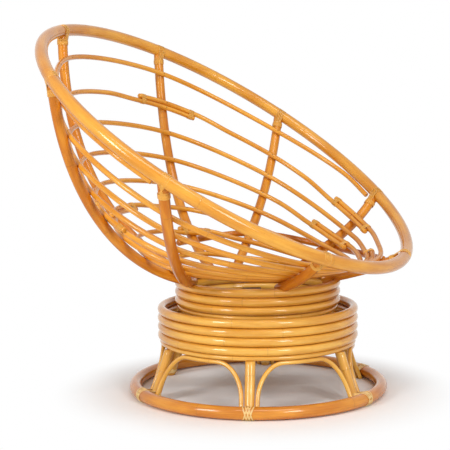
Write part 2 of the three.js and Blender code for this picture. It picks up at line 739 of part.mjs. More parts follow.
// Two half-lapped boards across a stack, their ends against its lowest thick ring
function addCrossBoards(name, stackRadius, top) {
  const poleReach = STACK_POLE_RADIUS / Math.cos(Math.PI / STACK_SIDES);
  const reach = (stackRadius - poleReach) * Math.cos(Math.PI / STACK_SEGMENTS) - SEAT_GAP;
  const middle = top - BOARD_THICKNESS / 2;
  const lap = (side) =>
    solidOf(
      box(
        BOARD_WIDTH + 2 * SEAT_GAP,
        BOARD_WIDTH + 2 * SEAT_GAP,
        BOARD_THICKNESS + SEAT_GAP,
        0,
        0,
        middle + (side * BOARD_THICKNESS) / 2,
      ),
    );
  [1, -1].forEach((side, index) => {
    const board = solidOf(box(BOARD_WIDTH, 2 * reach, BOARD_THICKNESS, 0, 0, middle));
    const mesh = add(`${name}_board_${index + 1}`, geometryOf(board.subtract(lap(side))), boardWood);
    mesh.rotation.z = BOARD_ANGLE + (index * Math.PI) / 2;
  });
}

// Floor ring with a band of peel at each leg
const legAngle = (index) => LEG_FIRST_ANGLE + (index * 2 * Math.PI) / LEG_COUNT;
const floorFacetRadius = FLOOR_RING_RADIUS * Math.cos(Math.PI / FLOOR_RING_SEGMENTS);

function addFloorRing() {
  let solid = solidOf(
    ringGeometry(
      FLOOR_RING_RADIUS,
      FLOOR_RING_POLE_RADIUS,
      8,
      FLOOR_RING_SEGMENTS,
      LEG_FIRST_ANGLE,
    ),
  );
  for (let index = 0; index < LEG_COUNT; index += 1) {
    const outward = around(1, legAngle(index), 0);
    const tangent = UP.clone().cross(outward);
    const ends = [-0.5, 0.5].map((share) =>
      combine([outward, floorFacetRadius], [tangent, share * FLOOR_BAND_WIDTH]),
    );
    const path = guide(ends, [UP, UP]);
    const section = poleSection(FLOOR_RING_POLE_RADIUS + FLOOR_BAND_THICKNESS, 8);
    solid = solid.add(solidOf(sweep(section, path)));
  }
  add('floor_ring', geometryOf(solid), rimRattan).position.z = FLOOR_RING_POLE_RADIUS + FLOOR_BAND_THICKNESS;
}

// Lean of a pole from a head under the stack to a foot that clears the floor ring
const flatHalfHeight = (poleRadius) => poleRadius * Math.tan(Math.PI / 8);
const legHeadRadius = BASE_STACK_RADIUS * Math.cos(Math.PI / STACK_SEGMENTS);
const floorRingMiddle = FLOOR_RING_POLE_RADIUS + FLOOR_BAND_THICKNESS;

function leanOf(poleRadius, headHeight) {
  const bandFace = FLOOR_RING_POLE_RADIUS + FLOOR_BAND_THICKNESS;
  const cornerRadius = floorFacetRadius - bandFace - SEAT_GAP;
  const cornerHeight = floorRingMiddle - flatHalfHeight(bandFace);
  const across = cornerRadius - legHeadRadius;
  const down = headHeight - cornerHeight;
  return Math.atan2(across, down) - Math.asin(poleRadius / Math.hypot(across, down));
}

const legTop = BASE_STACK_UNDERSIDE - SEAT_GAP;

function addLegs() {
  const lean = leanOf(LEG_POLE_RADIUS, legTop);
  const footRadius = legHeadRadius + legTop * Math.tan(lean);
  for (let index = 0; index < LEG_COUNT; index += 1) {
    const angle = legAngle(index);
    const outward = around(1, angle, 0);
    const tangent = outward.clone().cross(UP);
    const stretched = outward.multiplyScalar(1 / Math.cos(lean));
    const path = new GuidedPath(
      [around(legHeadRadius, angle, legTop), around(footRadius, angle, 0)],
      [stretched, stretched],
      [tangent, tangent],
    );
    add(`leg_${index + 1}`, sweep(poleSection(LEG_POLE_RADIUS, 8), path), stackRattan);
  }
}

// Arches: thin poles bent from leg to leg under the stack
function archOutline(halfGapAngle, side, lean, topHeight) {
  const radiusAt = (height) => legHeadRadius + (topHeight - height) * Math.tan(lean);
  const runAt = (height) => radiusAt(height) * halfGapAngle - side;
  const places = [[runAt(0), 0], [runAt(ARCH_SPRING_HEIGHT), ARCH_SPRING_HEIGHT]];
  const rise = topHeight - ARCH_SPRING_HEIGHT;
  for (let step = 1; step <= ARCH_CORNER_STEPS; step += 1) {
    const turn = (step / ARCH_CORNER_STEPS) * (Math.PI / 2);
    const height = ARCH_SPRING_HEIGHT + rise * Math.sin(turn);
    places.push([runAt(height) - ARCH_CORNER_WIDTH * (1 - Math.cos(turn)), height]);
  }
  places.push([places[places.length - 1][0] / 2, topHeight]);
  return places.map(([run, height]) => ({ turn: run / radiusAt(height), height, radius: radiusAt(height) }));
}

function addArches() {
  const corner = ARCH_POLE_RADIUS / Math.cos(Math.PI / ARCH_SIDES);
  const topHeight = BASE_STACK_UNDERSIDE - SEAT_GAP - corner;
  const lean = leanOf(ARCH_POLE_RADIUS, topHeight);
  const side = LEG_POLE_RADIUS + corner + SEAT_GAP;
  const half = archOutline(Math.PI / LEG_COUNT, side, lean, topHeight);
  const whole = [
    ...half.map((spot) => ({ ...spot, turn: -spot.turn })),
    { turn: 0, height: topHeight, radius: legHeadRadius },
    ...half.slice().reverse(),
  ];
  for (let index = 0; index < LEG_COUNT; index += 1) {
    const middle = legAngle(index) + Math.PI / LEG_COUNT;
    const points = whole.map((spot) => around(spot.radius, middle + spot.turn, spot.height));
    const facings = whole.map((spot) => around(1, middle + spot.turn, 0));
    const path = guide(points, facings);
    [0, points.length - 1].forEach((end) => {
      const sign = end === 0 ? 1 : -1;
      path.firstAxes[end] = facings[end].clone().multiplyScalar(1 / Math.cos(lean));
      path.secondAxes[end] = UP.clone().cross(facings[end]).multiplyScalar(sign);
    });
    add(`arch_${index + 1}`, sweep(poleSection(ARCH_POLE_RADIUS, ARCH_SIDES), path), stackRattan);
  }
}

// Heights of the swivel and the rocker
const baseBoardTop = BASE_STACK_UNDERSIDE + firstRingRise;
const basePlateFloor = baseBoardTop + SEAT_GAP;
const bearingFloor = basePlateFloor + PLATE_THICKNESS + SEAT_GAP;
const headFloor = bearingFloor + BEARING_HEIGHT + SEAT_GAP;
const headTop = headFloor + PLATE_THICKNESS;
const pivotHeight = headTop + PIVOT_RISE;
const seatBoardTop = seatStackUnderside + firstRingRise;
const rockerPlateTop = seatBoardTop - BOARD_THICKNESS - SEAT_GAP;
const rockerPlateFloor = rockerPlateTop - PLATE_THICKNESS;

function roundedPlate(width, length, radius) {
  const shape = new THREE.Shape();
  const x = width / 2 - radius;
  const y = length / 2 - radius;
  shape.absarc(x, y, radius, 0, Math.PI / 2, false);
  shape.absarc(-x, y, radius, Math.PI / 2, Math.PI, false);
  shape.absarc(-x, -y, radius, Math.PI, 1.5 * Math.PI, false);
  shape.absarc(x, -y, radius, 1.5 * Math.PI, 2 * Math.PI, false);
  return shape;
}

const extrude = (shape, depth, curveSegments = 3) =>
  new THREE.ExtrudeGeometry(shape, { depth, bevelEnabled: false, curveSegments });

// An upright lug round the pivot, in the plane of Y and Z, centred on x
function lugSolid(x, footHeight, footWidth) {
  const round = PIVOT_PIN_RADIUS + EAR_WALL;
  const rise = pivotHeight - footHeight;
  const outline = new THREE.Shape();
  const up = Math.sign(rise);
  const start = up > 0 ? 0 : Math.PI;
  outline.moveTo((-up * footWidth) / 2, 0);
  outline.lineTo((up * footWidth) / 2, 0);
  outline.absarc(0, rise, round, start, start + Math.PI, false);
  outline.closePath();
  const lug = extrude(outline, EAR_THICKNESS, 6)
    .rotateX(Math.PI / 2)
    .rotateZ(Math.PI / 2)
    .translate(x - EAR_THICKNESS / 2, 0, footHeight);
  const boreRadius = (PIVOT_PIN_RADIUS + SEAT_GAP) / Math.cos(Math.PI / PIN_SEGMENTS);
  const bore = new THREE.CylinderGeometry(
    boreRadius,
    boreRadius,
    EAR_THICKNESS + CUT_OVERRUN,
    PIN_SEGMENTS,
  )
    .rotateZ(Math.PI / 2)
    .translate(x, 0, pivotHeight);
  return solidOf(lug).subtract(solidOf(bore));
}

function addSwivel() {
  const plate = roundedPlate(BASE_PLATE_SIDE, BASE_PLATE_SIDE, PLATE_CORNER_RADIUS);
  add('swivel_base_plate', extrude(plate, PLATE_THICKNESS), blackSteel).position.z = basePlateFloor;

  const inner = BEARING_RADIUS - BEARING_WIDTH / 2;
  const outer = BEARING_RADIUS + BEARING_WIDTH / 2;
  const race = [
    new THREE.Vector2(inner, 0),
    new THREE.Vector2(outer, 0),
    new THREE.Vector2(outer, BEARING_HEIGHT),
    new THREE.Vector2(inner, BEARING_HEIGHT),
    new THREE.Vector2(inner, 0),
  ];
  const bearing = new THREE.LatheGeometry(race, ROUND_SEGMENTS).rotateX(Math.PI / 2);
  add('swivel_bearing', bearing, springSteel).position.z = bearingFloor;

  const disc = new THREE.CylinderGeometry(HEAD_RADIUS, HEAD_RADIUS, PLATE_THICKNESS, ROUND_SEGMENTS)
    .rotateX(Math.PI / 2)
    .translate(0, 0, headFloor + PLATE_THICKNESS / 2);
  const earFoot = headTop - PLATE_THICKNESS / 2;
  const head = [-1, 1].reduce(
    (sum, side) => sum.add(lugSolid((side * EAR_SPACING) / 2, earFoot, EAR_FOOT_WIDTH)),
    solidOf(disc),
  );
  add('swivel_head', geometryOf(head), blackSteel);
}

function addPivot() {
  const shaft = EAR_SPACING / 2 + EAR_THICKNESS / 2 + SEAT_GAP;
  const end = shaft + PIN_HEAD_LENGTH;
  const profile = [
    new THREE.Vector2(0, -end),
    new THREE.Vector2(PIN_HEAD_RADIUS, -end),
    new THREE.Vector2(PIN_HEAD_RADIUS, -shaft),
    new THREE.Vector2(PIVOT_PIN_RADIUS, -shaft),
    new THREE.Vector2(PIVOT_PIN_RADIUS, shaft),
    new THREE.Vector2(PIN_HEAD_RADIUS, shaft),
    new THREE.Vector2(PIN_HEAD_RADIUS, end),
    new THREE.Vector2(0, end),
  ];
  const pin = new THREE.LatheGeometry(profile, PIN_SEGMENTS).rotateZ(Math.PI / 2);
  add('pivot_pin', pin, springSteel).position.z = pivotHeight;
}

function addRocker() {
  const shape = roundedPlate(ROCKER_PLATE_WIDTH, ROCKER_PLATE_LENGTH, PLATE_CORNER_RADIUS);
  const plate = solidOf(extrude(shape, PLATE_THICKNESS).translate(0, 0, rockerPlateFloor));
  const lugPlace = EAR_SPACING / 2 - EAR_THICKNESS - RUNNING_GAP;
  const lugFoot = rockerPlateFloor + PLATE_THICKNESS / 2;
  const rocker = [-1, 1].reduce(
    (sum, side) => sum.add(lugSolid(side * lugPlace, lugFoot, EAR_FOOT_WIDTH)),
    plate,
  );
  add('rocker_plate', geometryOf(rocker), blackSteel);
}

function addSprings() {
  const wireCorner = SPRING_WIRE_RADIUS / Math.cos(Math.PI / SPRING_SIDES);
  const low = headTop + SEAT_GAP + wireCorner;
  const high = rockerPlateFloor - SEAT_GAP - wireCorner;
  const steps = SPRING_CURLS * SPRING_STEPS_PER_CURL;
  const wire = poleSection(SPRING_WIRE_RADIUS, SPRING_SIDES);
  [['front', -1], ['rear', 1]].forEach(([name, side]) => {
    const points = [];
    const facings = [];
    for (let i = 0; i <= steps; i += 1) {
      const turn = (i / SPRING_STEPS_PER_CURL) * 2 * Math.PI;
      const out = around(1, turn, 0);
      const height = THREE.MathUtils.lerp(low, high, i / steps);
      const spot = combine([out, SPRING_RADIUS], [UP, height]);
      spot.y += side * SPRING_REACH;
      points.push(spot);
      facings.push(out);
    }
    add(`rock_spring_${name}`, sweep(wire, guide(points, facings)), springSteel);
  });
  const gap = (high - low) / SPRING_CURLS - 2 * wireCorner;
  console.log(`least gap of a spring to itself: ${gap.toFixed(2)} mm`);
}

addFloorRing();
addLegs();
addArches();
addStack('base', BASE_STACK_RADIUS, BASE_STACK_UNDERSIDE, BASE_STACK_RINGS);
addCrossBoards('base', BASE_STACK_RADIUS, baseBoardTop);
addSwivel();
addPivot();
addSprings();
addRocker();
addCrossBoards('seat', seatStackRadius, seatBoardTop);
addStack('seat', seatStackRadius, seatStackUnderside, SEAT_STACK_RINGS);
addRibs();
addHoops();
addBrace();
addRim();
addLashings();

export default chair;
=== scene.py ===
import math
import random
from bisect import bisect_right

import bmesh
import bpy
from mathutils import Matrix, Vector, noise
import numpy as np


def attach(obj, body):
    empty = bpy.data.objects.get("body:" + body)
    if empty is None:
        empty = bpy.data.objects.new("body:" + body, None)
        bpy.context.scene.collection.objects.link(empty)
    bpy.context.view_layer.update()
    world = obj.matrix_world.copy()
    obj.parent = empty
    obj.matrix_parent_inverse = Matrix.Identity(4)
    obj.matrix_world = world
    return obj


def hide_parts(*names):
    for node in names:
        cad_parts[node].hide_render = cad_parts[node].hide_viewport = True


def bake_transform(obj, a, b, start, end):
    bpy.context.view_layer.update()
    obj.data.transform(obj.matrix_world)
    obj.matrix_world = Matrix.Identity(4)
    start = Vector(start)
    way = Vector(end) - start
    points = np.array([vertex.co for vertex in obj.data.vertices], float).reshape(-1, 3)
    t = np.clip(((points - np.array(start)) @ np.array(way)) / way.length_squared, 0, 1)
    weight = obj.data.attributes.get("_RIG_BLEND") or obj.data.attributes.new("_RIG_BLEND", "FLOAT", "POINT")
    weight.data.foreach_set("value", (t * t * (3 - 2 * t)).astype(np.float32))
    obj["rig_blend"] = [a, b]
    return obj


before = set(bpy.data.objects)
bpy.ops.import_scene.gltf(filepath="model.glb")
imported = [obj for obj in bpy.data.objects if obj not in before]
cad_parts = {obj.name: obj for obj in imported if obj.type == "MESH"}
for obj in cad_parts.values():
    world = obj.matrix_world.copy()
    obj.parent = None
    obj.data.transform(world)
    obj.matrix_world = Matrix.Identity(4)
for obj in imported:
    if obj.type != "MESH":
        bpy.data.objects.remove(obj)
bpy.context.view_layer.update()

# Floor ring. A thick rattan pole steamed and bent to a ring on a former, its two ends cut on a
# slant, glued and nailed. It lies on the floor round the feet and keeps the legs from spreading.
AXIS_SET_FORWARD = 0.076
FLOOR_RING_RADIUS = 0.317
FLOOR_RING_POLE = 0.0156
FLOOR_RING_LIFT = 0.0167
FLOOR_RING_SCARS = 0.3
HEADING_STEP = 0.002
SCAR_END_CLEAR = 0.02
SCAR_RINGS = (-0.005, -0.0022, -0.0008, 0, 0.0008, 0.0022, 0.005)
SCAR_RINGS_CLEAR = 0.006
SCAR_FREE = 0.1
RIDGE_SHARE = 0.022
RIDGE_REACH = 0.0032
GROOVE_SHARE = 0.03
GROOVE_REACH = 0.0007
WAVER_SHARE = 0.004
WAVER_PACE = 9
WAVER_SHIFT = 3.1
SKIN_SHIFT = 7.3
END_ROUNDING = ((0.93, 0.16), (0.8, 0.25))


def around(radius, degrees, height):
    """A point at a distance from the drum's axis, turned from the front."""
    turn = math.radians(degrees)
    return Vector((radius * math.sin(turn), -radius * math.cos(turn) - AXIS_SET_FORWARD, height))


def circle_path(radius, height, start):
    return [around(radius, start + 360 * k / 180, height) for k in range(180)]


def leaf_scars(length, seed, spacing):
    """Distances of the leaf scars along a pole, unevenly spaced as they grow."""
    pick = random.Random(seed)
    scars = []
    place = spacing * pick.uniform(0.2, 0.9)
    while place < length - SCAR_END_CLEAR:
        scars.append(place)
        place += spacing * pick.uniform(0.7, 1.35)
    return scars


class Route:
    """A line of points that is read by the distance along it."""

    def __init__(self, points, closed=False):
        self.closed = closed
        self.points = [Vector(point) for point in points]
        if closed:
            self.points.append(self.points[0])
        self.reach = [0.0]
        for a, b in zip(self.points, self.points[1:]):
            self.reach.append(self.reach[-1] + (b - a).length)
        self.length = self.reach[-1]

    def read(self, s, row=None):
        """The point at a distance, or the value there of a row that goes with the points."""
        row = row or self.points
        i = min(max(bisect_right(self.reach, s) - 1, 0), len(self.reach) - 2)
        span = self.reach[i + 1] - self.reach[i]
        return row[i].lerp(row[i + 1], (s - self.reach[i]) / span if span > 0 else 0.0)

    def heading(self, s):
        after, before = s + HEADING_STEP, s - HEADING_STEP
        if self.closed:
            after, before = after % self.length, before % self.length
        else:
            after, before = min(after, self.length), max(before, 0)
        return (self.read(after) - self.read(before)).normalized()

    def nearest(self, scars, s):
        """How far a place is past the scar nearest to it, counted over the join of a closed pole too."""
        gaps = [s - scar for scar in scars]
        if self.closed:
            gaps += [gap - self.length for gap in gaps] + [gap + self.length for gap in gaps]
        return min(gaps, key=abs, default=SCAR_FREE)

    def rings(self, step, scars):
        """Distances at which a pole's rings are drawn, closer together at the scars."""
        count = max(6, round(self.length / step))
        places = {round(k * self.length / count, 6) for k in range(count + (0 if self.closed else 1))}
        for scar in scars:
            places = {p for p in places if abs(p - scar) > SCAR_RINGS_CLEAR or p == 0}
            places |= {scar + d for d in SCAR_RINGS if 0 < scar + d < self.length}
        return sorted(places)


def steady_sides(route, places, headings):
    """Directions square to the line that follow it without turning round it."""
    out = headings[0].orthogonal().normalized()
    sides = [out]
    for before, after in zip(headings, headings[1:]):
        out = before.rotation_difference(after) @ out
        sides.append((out - after * out.dot(after)).normalized())
    if route.closed:
        back = headings[-1].rotation_difference(headings[0]) @ sides[-1]
        twist = back.angle(sides[0]) * (1 if headings[0].dot(sides[0].cross(back)) < 0 else -1)
        turns = [Matrix.Rotation(twist * s / route.length, 3, h) for s, h in zip(places, headings)]
        sides = [turn @ side for turn, side in zip(turns, sides)]
    return sides


def faced_sides(route, places, headings, facings):
    """Directions square to the line that follow the given facings."""
    facings = list(facings) + ([facings[0]] if route.closed else [])
    sides = []
    for s, h in zip(places, headings):
        look = route.read(s, facings)
        sides.append((look - h * look.dot(h)).normalized())
    return sides


def pole(whole, path, thickness, closed=False, step=0.012, sides=14, scars=(), tone=0.0, seed=0,
         facings=None, width=None, rounded=True):
    """Draws a round pole, or a flat strand when it has a width, along a path by extruding one ring."""
    bm = bmesh.new()
    layers = bm.verts.layers.float
    along, turn, scar, shade = [layers.new(label) for label in ("along", "turn", "scar", "tone")]
    uv = bm.loops.layers.uv.new("UVMap")
    route = Route(path, closed)
    places = route.rings(step, scars)
    headings = [route.heading(s) for s in places]
    if facings is None:
        outs = steady_sides(route, places, headings)
    else:
        outs = faced_sides(route, places, headings, facings)

    def swell(s):
        gap = route.nearest(scars, s)
        ridge = RIDGE_SHARE * math.exp(-((gap / RIDGE_REACH) ** 2))
        ridge -= GROOVE_SHARE * math.exp(-((gap / GROOVE_REACH) ** 2))
        waver = WAVER_SHARE * noise.noise(Vector((s * WAVER_PACE, seed * WAVER_SHIFT, 0)))
        return 1 + (ridge if scars else 0) + waver

    def frame_at(k, grow=1.0, push=0.0):
        h, o, s = headings[k], outs[k], places[k]
        half = thickness * swell(s) * grow
        wide = half if width is None else width * grow
        basis = Matrix((o * half, h.cross(o) * wide, h * thickness)).transposed().to_4x4()
        return Matrix.Translation(route.read(s) + h * push) @ basis

    faces = []

    def carry(edges, before, after, s):
        drawn = bmesh.ops.extrude_edge_only(bm, edges=edges)["geom"]
        verts = [g for g in drawn if isinstance(g, bmesh.types.BMVert)]
        fresh = set(verts)
        for v in verts:
            source = next(e.other_vert(v) for e in v.link_edges if e.other_vert(v) not in fresh)
            v[turn], v[along], v[scar], v[shade] = source[turn], s, route.nearest(scars, s), tone
        bmesh.ops.transform(bm, matrix=after @ before.inverted(), verts=verts)
        faces.extend(g for g in drawn if isinstance(g, bmesh.types.BMFace))
        edges = [g for g in drawn if isinstance(g, bmesh.types.BMEdge)]
        return [e for e in edges if e.verts[0] in fresh and e.verts[1] in fresh]

    matrix = frame_at(0)
    first = bmesh.ops.create_circle(bm, cap_ends=False, segments=sides, radius=1.0, matrix=matrix)["verts"]
    for k, v in enumerate(first):
        v[turn], v[along], v[scar], v[shade] = k / sides, places[0], route.nearest(scars, places[0]), tone
    ring_edges = first_edges = bm.edges[:]
    for k in range(1, len(places)):
        after = frame_at(k)
        ring_edges = carry(ring_edges, matrix, after, places[k])
        matrix = after
    if closed:
        faces += bmesh.ops.bridge_loops(bm, edges=ring_edges + first_edges)["faces"]
    else:
        for edges, k, way in ((ring_edges, len(places) - 1, 1), (first_edges, 0, -1)):
            matrix = frame_at(k)
            for grow, push in END_ROUNDING if rounded else ():
                after = frame_at(k, grow, push * thickness * way)
                edges = carry(edges, matrix, after, places[k])
                matrix = after
            faces += bmesh.ops.edgeloop_fill(bm, edges=edges)["faces"]

    for face in faces:
        turns = [loop.vert[turn] for loop in face.loops]
        runs = [loop.vert[along] for loop in face.loops]
        for loop, t, r in zip(face.loops, turns, runs):
            over_seam = 1 if max(turns) - t > 0.5 else 0
            over_join = route.length if closed and max(runs) - r > route.length / 2 else 0
            loop[uv].uv = (t + over_seam, SKIN_SHIFT * seed + r + over_join)
    strand = bpy.data.meshes.new("strand")
    bm.to_mesh(strand)
    bm.free()
    whole.from_mesh(strand)
    bpy.data.meshes.remove(strand)


def add_object(name, bm, material, smooth):
    mesh = bpy.data.meshes.new(name)
    bm.to_mesh(mesh)
    bm.free()
    mesh.polygons.foreach_set("use_smooth", [smooth] * len(mesh.polygons))
    mesh.materials.append(material)
    thing = bpy.data.objects.new(name, mesh)
    bpy.context.scene.collection.objects.link(thing)
    return thing


def finish_piece(name, bm, material, body, slot, *nodes, smooth=True):
    """Turns the drawn mesh into an object that rides on a body and stands for CAD nodes."""
    bmesh.ops.recalc_face_normals(bm, faces=bm.faces)
    piece = add_object(name, bm, material, smooth)
    if body:
        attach(piece, body)
    if nodes:
        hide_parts(*nodes)
    return piece


def new_material(name):
    material = bpy.data.materials.new(name)
    material.use_nodes = True
    tree = material.node_tree
    return material, tree, tree.nodes["Principled BSDF"]


def feed(tree, node, inputs):
    """Fills a node's inputs: another node's output is linked, a colour or a number is set."""
    for label, value in inputs.items():
        if isinstance(value, bpy.types.NodeSocket):
            tree.links.new(value, node.inputs[label])
        elif node.inputs[label].type == "RGBA":
            node.inputs[label].default_value = (*value, 1)
        else:
            node.inputs[label].default_value = value


def math_node(tree, operation, *values):
    node = tree.nodes.new("ShaderNodeMath")
    node.operation = operation
    feed(tree, node, dict(enumerate(values)))
    return node.outputs[0]


def blend_node(tree, share, a, b, mode="MIX"):
    node = tree.nodes.new("ShaderNodeMix")
    node.data_type = "RGBA"
    node.blend_type = mode
    feed(tree, node, {0: share, 6: a, 7: b})
    return node.outputs[2]


def noise_node(tree, vector, scale, detail):
    node = tree.nodes.new("ShaderNodeTexNoise")
    feed(tree, node, {"Vector": vector, "Scale": scale, "Detail": detail})
    return node.outputs["Fac"]


def range_node(tree, value, low, high, to_low=0.0, to_high=1.0):
    node = tree.nodes.new("ShaderNodeMapRange")
    node.interpolation_type = "SMOOTHSTEP"
    feed(tree, node, dict(enumerate((value, low, high, to_low, to_high))))
    return node.outputs[0]


def raise_grain(tree, shader, height, strength, distance):
    bump = tree.nodes.new("ShaderNodeBump")
    feed(tree, bump, {"Height": height, "Strength": strength, "Distance": distance})
    feed(tree, shader, {"Normal": bump.outputs[0]})


def rattan_skin():
    """The skin of a pole: fibres along it, slow drifts of colour, leaf scars and a few specks."""
    skin = bpy.data.node_groups.new("rattan skin", "ShaderNodeTree")
    for label, kind in (("Place", "Vector"), ("Scar", "Float"), ("Tone", "Float"), ("Pale", "Color"),
                        ("Deep", "Color"), ("Mark", "Color")):
        skin.interface.new_socket(label, in_out="INPUT", socket_type=f"NodeSocket{kind}")
    for label, kind in (("Color", "Color"), ("Roughness", "Float"), ("Height", "Float")):
        skin.interface.new_socket(label, in_out="OUTPUT", socket_type=f"NodeSocket{kind}")
    given = skin.nodes.new("NodeGroupInput").outputs
    split = skin.nodes.new("ShaderNodeSeparateXYZ")
    feed(skin, split, {0: given["Place"]})
    angle, run = math_node(skin, "MULTIPLY", split.outputs[0], 2 * math.pi), split.outputs[1]
    cosine = math_node(skin, "COSINE", angle)
    sine = math_node(skin, "SINE", angle)

    def skin_noise(round_scale, run_scale, detail):
        join = skin.nodes.new("ShaderNodeCombineXYZ")
        for k, (value, scale) in enumerate(((cosine, round_scale), (sine, round_scale), (run, run_scale))):
            feed(skin, join, {k: math_node(skin, "MULTIPLY", value, scale)})
        return noise_node(skin, join.outputs[0], 1.0, detail)

    fibre = range_node(skin, skin_noise(round_scale=7.0, run_scale=5.0, detail=4.0), low=0.3, high=0.7)
    drift = range_node(skin, skin_noise(round_scale=0.7, run_scale=9.0, detail=3.0), low=0.32, high=0.68)
    speck = range_node(skin, skin_noise(round_scale=3.0, run_scale=130.0, detail=2.0), low=0.72, high=0.78)
    gap = math_node(skin, "ABSOLUTE", given["Scar"])
    line = range_node(skin, gap, low=0.0006, high=0.0017, to_low=1.0, to_high=0.0)
    halo = range_node(skin, gap, low=0.001, high=0.016, to_low=1.0, to_high=0.0)
    share = math_node(skin, "MULTIPLY_ADD", fibre, 0.28, math_node(skin, "MULTIPLY", drift, 0.72))
    share = math_node(skin, "ADD", share, math_node(skin, "MULTIPLY", given["Tone"], 0.5))
    share.node.use_clamp = True
    wood = blend_node(skin, share, given["Pale"], given["Deep"])
    wood = blend_node(skin, math_node(skin, "MULTIPLY", halo, 0.12), wood, given["Deep"])
    marks = math_node(skin, "MULTIPLY", line, 0.17)
    marks = math_node(skin, "MAXIMUM", marks, math_node(skin, "MULTIPLY", speck, 0.4))
    wood = blend_node(skin, marks, wood, given["Mark"])
    rough = math_node(skin, "MULTIPLY_ADD", fibre, 0.08, 0.26)
    rough = math_node(skin, "MULTIPLY_ADD", marks, 0.2, rough)
    height = math_node(skin, "MULTIPLY_ADD", line, -1.0, math_node(skin, "MULTIPLY", fibre, 0.1))
    result = skin.nodes.new("NodeGroupOutput")
    feed(skin, result, {"Color": wood, "Roughness": rough, "Height": height})
    return skin


skin = rattan_skin()


def rattan(name, pale, deep, coat=0.7):
    """Varnished pole: the shared skin under a thin amber coat, with painted shade that darkens the flanks
    turned from the view.
    """
    material, tree, shader = new_material(name)
    cover = tree.nodes.new("ShaderNodeGroup")
    cover.node_tree = skin
    place = tree.nodes.new("ShaderNodeUVMap")
    place.uv_map = "UVMap"
    for label in ("scar", "tone"):
        read = tree.nodes.new("ShaderNodeAttribute")
        read.attribute_name = label
        feed(tree, cover, {label.capitalize(): read.outputs["Fac"]})
    feed(tree, cover, {"Place": place.outputs[0], "Pale": pale, "Deep": deep, "Mark": (0.2, 0.06, 0.012)})
    raise_grain(tree, shader, cover.outputs["Height"], strength=0.15, distance=0.0006)
    # Painted shade: the base colour is multiplied darker towards the flanks that turn away from the camera.
    flank_shade_facing = tree.nodes.new("ShaderNodeLayerWeight")
    painted_flank_shade = range_node(tree, flank_shade_facing.outputs["Facing"], low=0.35, high=0.95, to_low=0.0, to_high=0.85)
    painted_shade_colour = blend_node(tree, painted_flank_shade, cover.outputs["Color"], (0.62, 0.4, 0.22), "MULTIPLY")
    feed(tree, shader, {"Base Color": painted_shade_colour, "Roughness": cover.outputs["Roughness"],
                        "Specular IOR Level": 0.1, "Coat Weight": coat, "Coat Roughness": 0.13,
                        "Coat Tint": (1.0, 0.86, 0.6)})
    return material


russet = rattan("russet varnished rattan", pale=(0.81, 0.39, 0.055), deep=(0.58, 0.21, 0.018), coat=0.85)
bm = bmesh.new()
scars = leaf_scars(2 * math.pi * FLOOR_RING_RADIUS, 4, FLOOR_RING_SCARS)
pole(bm, circle_path(FLOOR_RING_RADIUS, FLOOR_RING_LIFT, 20), FLOOR_RING_POLE, closed=True, sides=20,
     scars=scars, tone=0.1, seed=4)
finish_piece("floor_ring_pole", bm, russet, "base", "rim_rattan", "floor_ring")

# Ties of the floor ring. Strands of split peel, soaked and drawn tight round the ring and the foot of
# each leg, so that they cross on the ring's face; they dry hard and are varnished with the frame.
LEG_ANGLES = [-69 + 60 * k for k in range(6)]
PEEL_THICKNESS = 0.0009
TIE_LOOPS = 3
TIE_PITCH = 0.0068
TIE_SLANT = 0.0075
TIE_SWEEP = 1.22
TIE_LAYERS = {1: 0.6, -1: 1.2}
TIE_HALF_THICKNESS = 0.0006
TIE_HALF_WIDTH = 0.0016
TIE_FLOOR_GAP = 0.0003
TIE_LEG_RADIUS = 0.0131
TIE_LEG_DISTANCE = 0.033
TIE_LEG_PITCH = 0.0035
TIE_LEG_SLANT = 0.0045


def peel_skin(name, pale, deep, edging):
    """Split peel: shiny bark side out, with fine straight fibres and darker edges."""
    material, tree, shader = new_material(name)
    place = tree.nodes.new("ShaderNodeUVMap")
    place.uv_map = "UVMap"
    stretch = tree.nodes.new("ShaderNodeMapping")
    feed(tree, stretch, {"Vector": place.outputs[0], "Scale": (26, 30, 1)})
    threads = noise_node(tree, stretch.outputs[0], 1.0, 3.0)
    peel = blend_node(tree, range_node(tree, threads, low=0.3, high=0.7), pale, deep)
    apart = tree.nodes.new("ShaderNodeSeparateXYZ")
    feed(tree, apart, {0: place.outputs[0]})
    angle = math_node(tree, "MULTIPLY", apart.outputs[0], 2 * math.pi)
    face = math_node(tree, "ABSOLUTE", math_node(tree, "COSINE", angle))
    edge = range_node(tree, face, low=0.2, high=0.8, to_low=edging, to_high=0.0)
    peel = blend_node(tree, edge, peel, (deep[0] * 0.5, deep[1] * 0.32, deep[2] * 0.15))
    raise_grain(tree, shader, threads, strength=0.3, distance=0.0003)
    feed(tree, shader, {"Base Color": peel, "Roughness": 0.34, "Specular IOR Level": 0.2,
                        "Coat Weight": 0.4, "Coat Roughness": 0.15, "Coat Tint": (1.0, 0.88, 0.62)})
    return material


def cut_corners(points):
    """The line with each corner cut off at a quarter of its sides, and its ends kept."""
    cut = [points[0]]
    for a, b in zip(points, points[1:]):
        cut += [a.lerp(b, 0.25), a.lerp(b, 0.75)]
    return cut + [points[-1]]


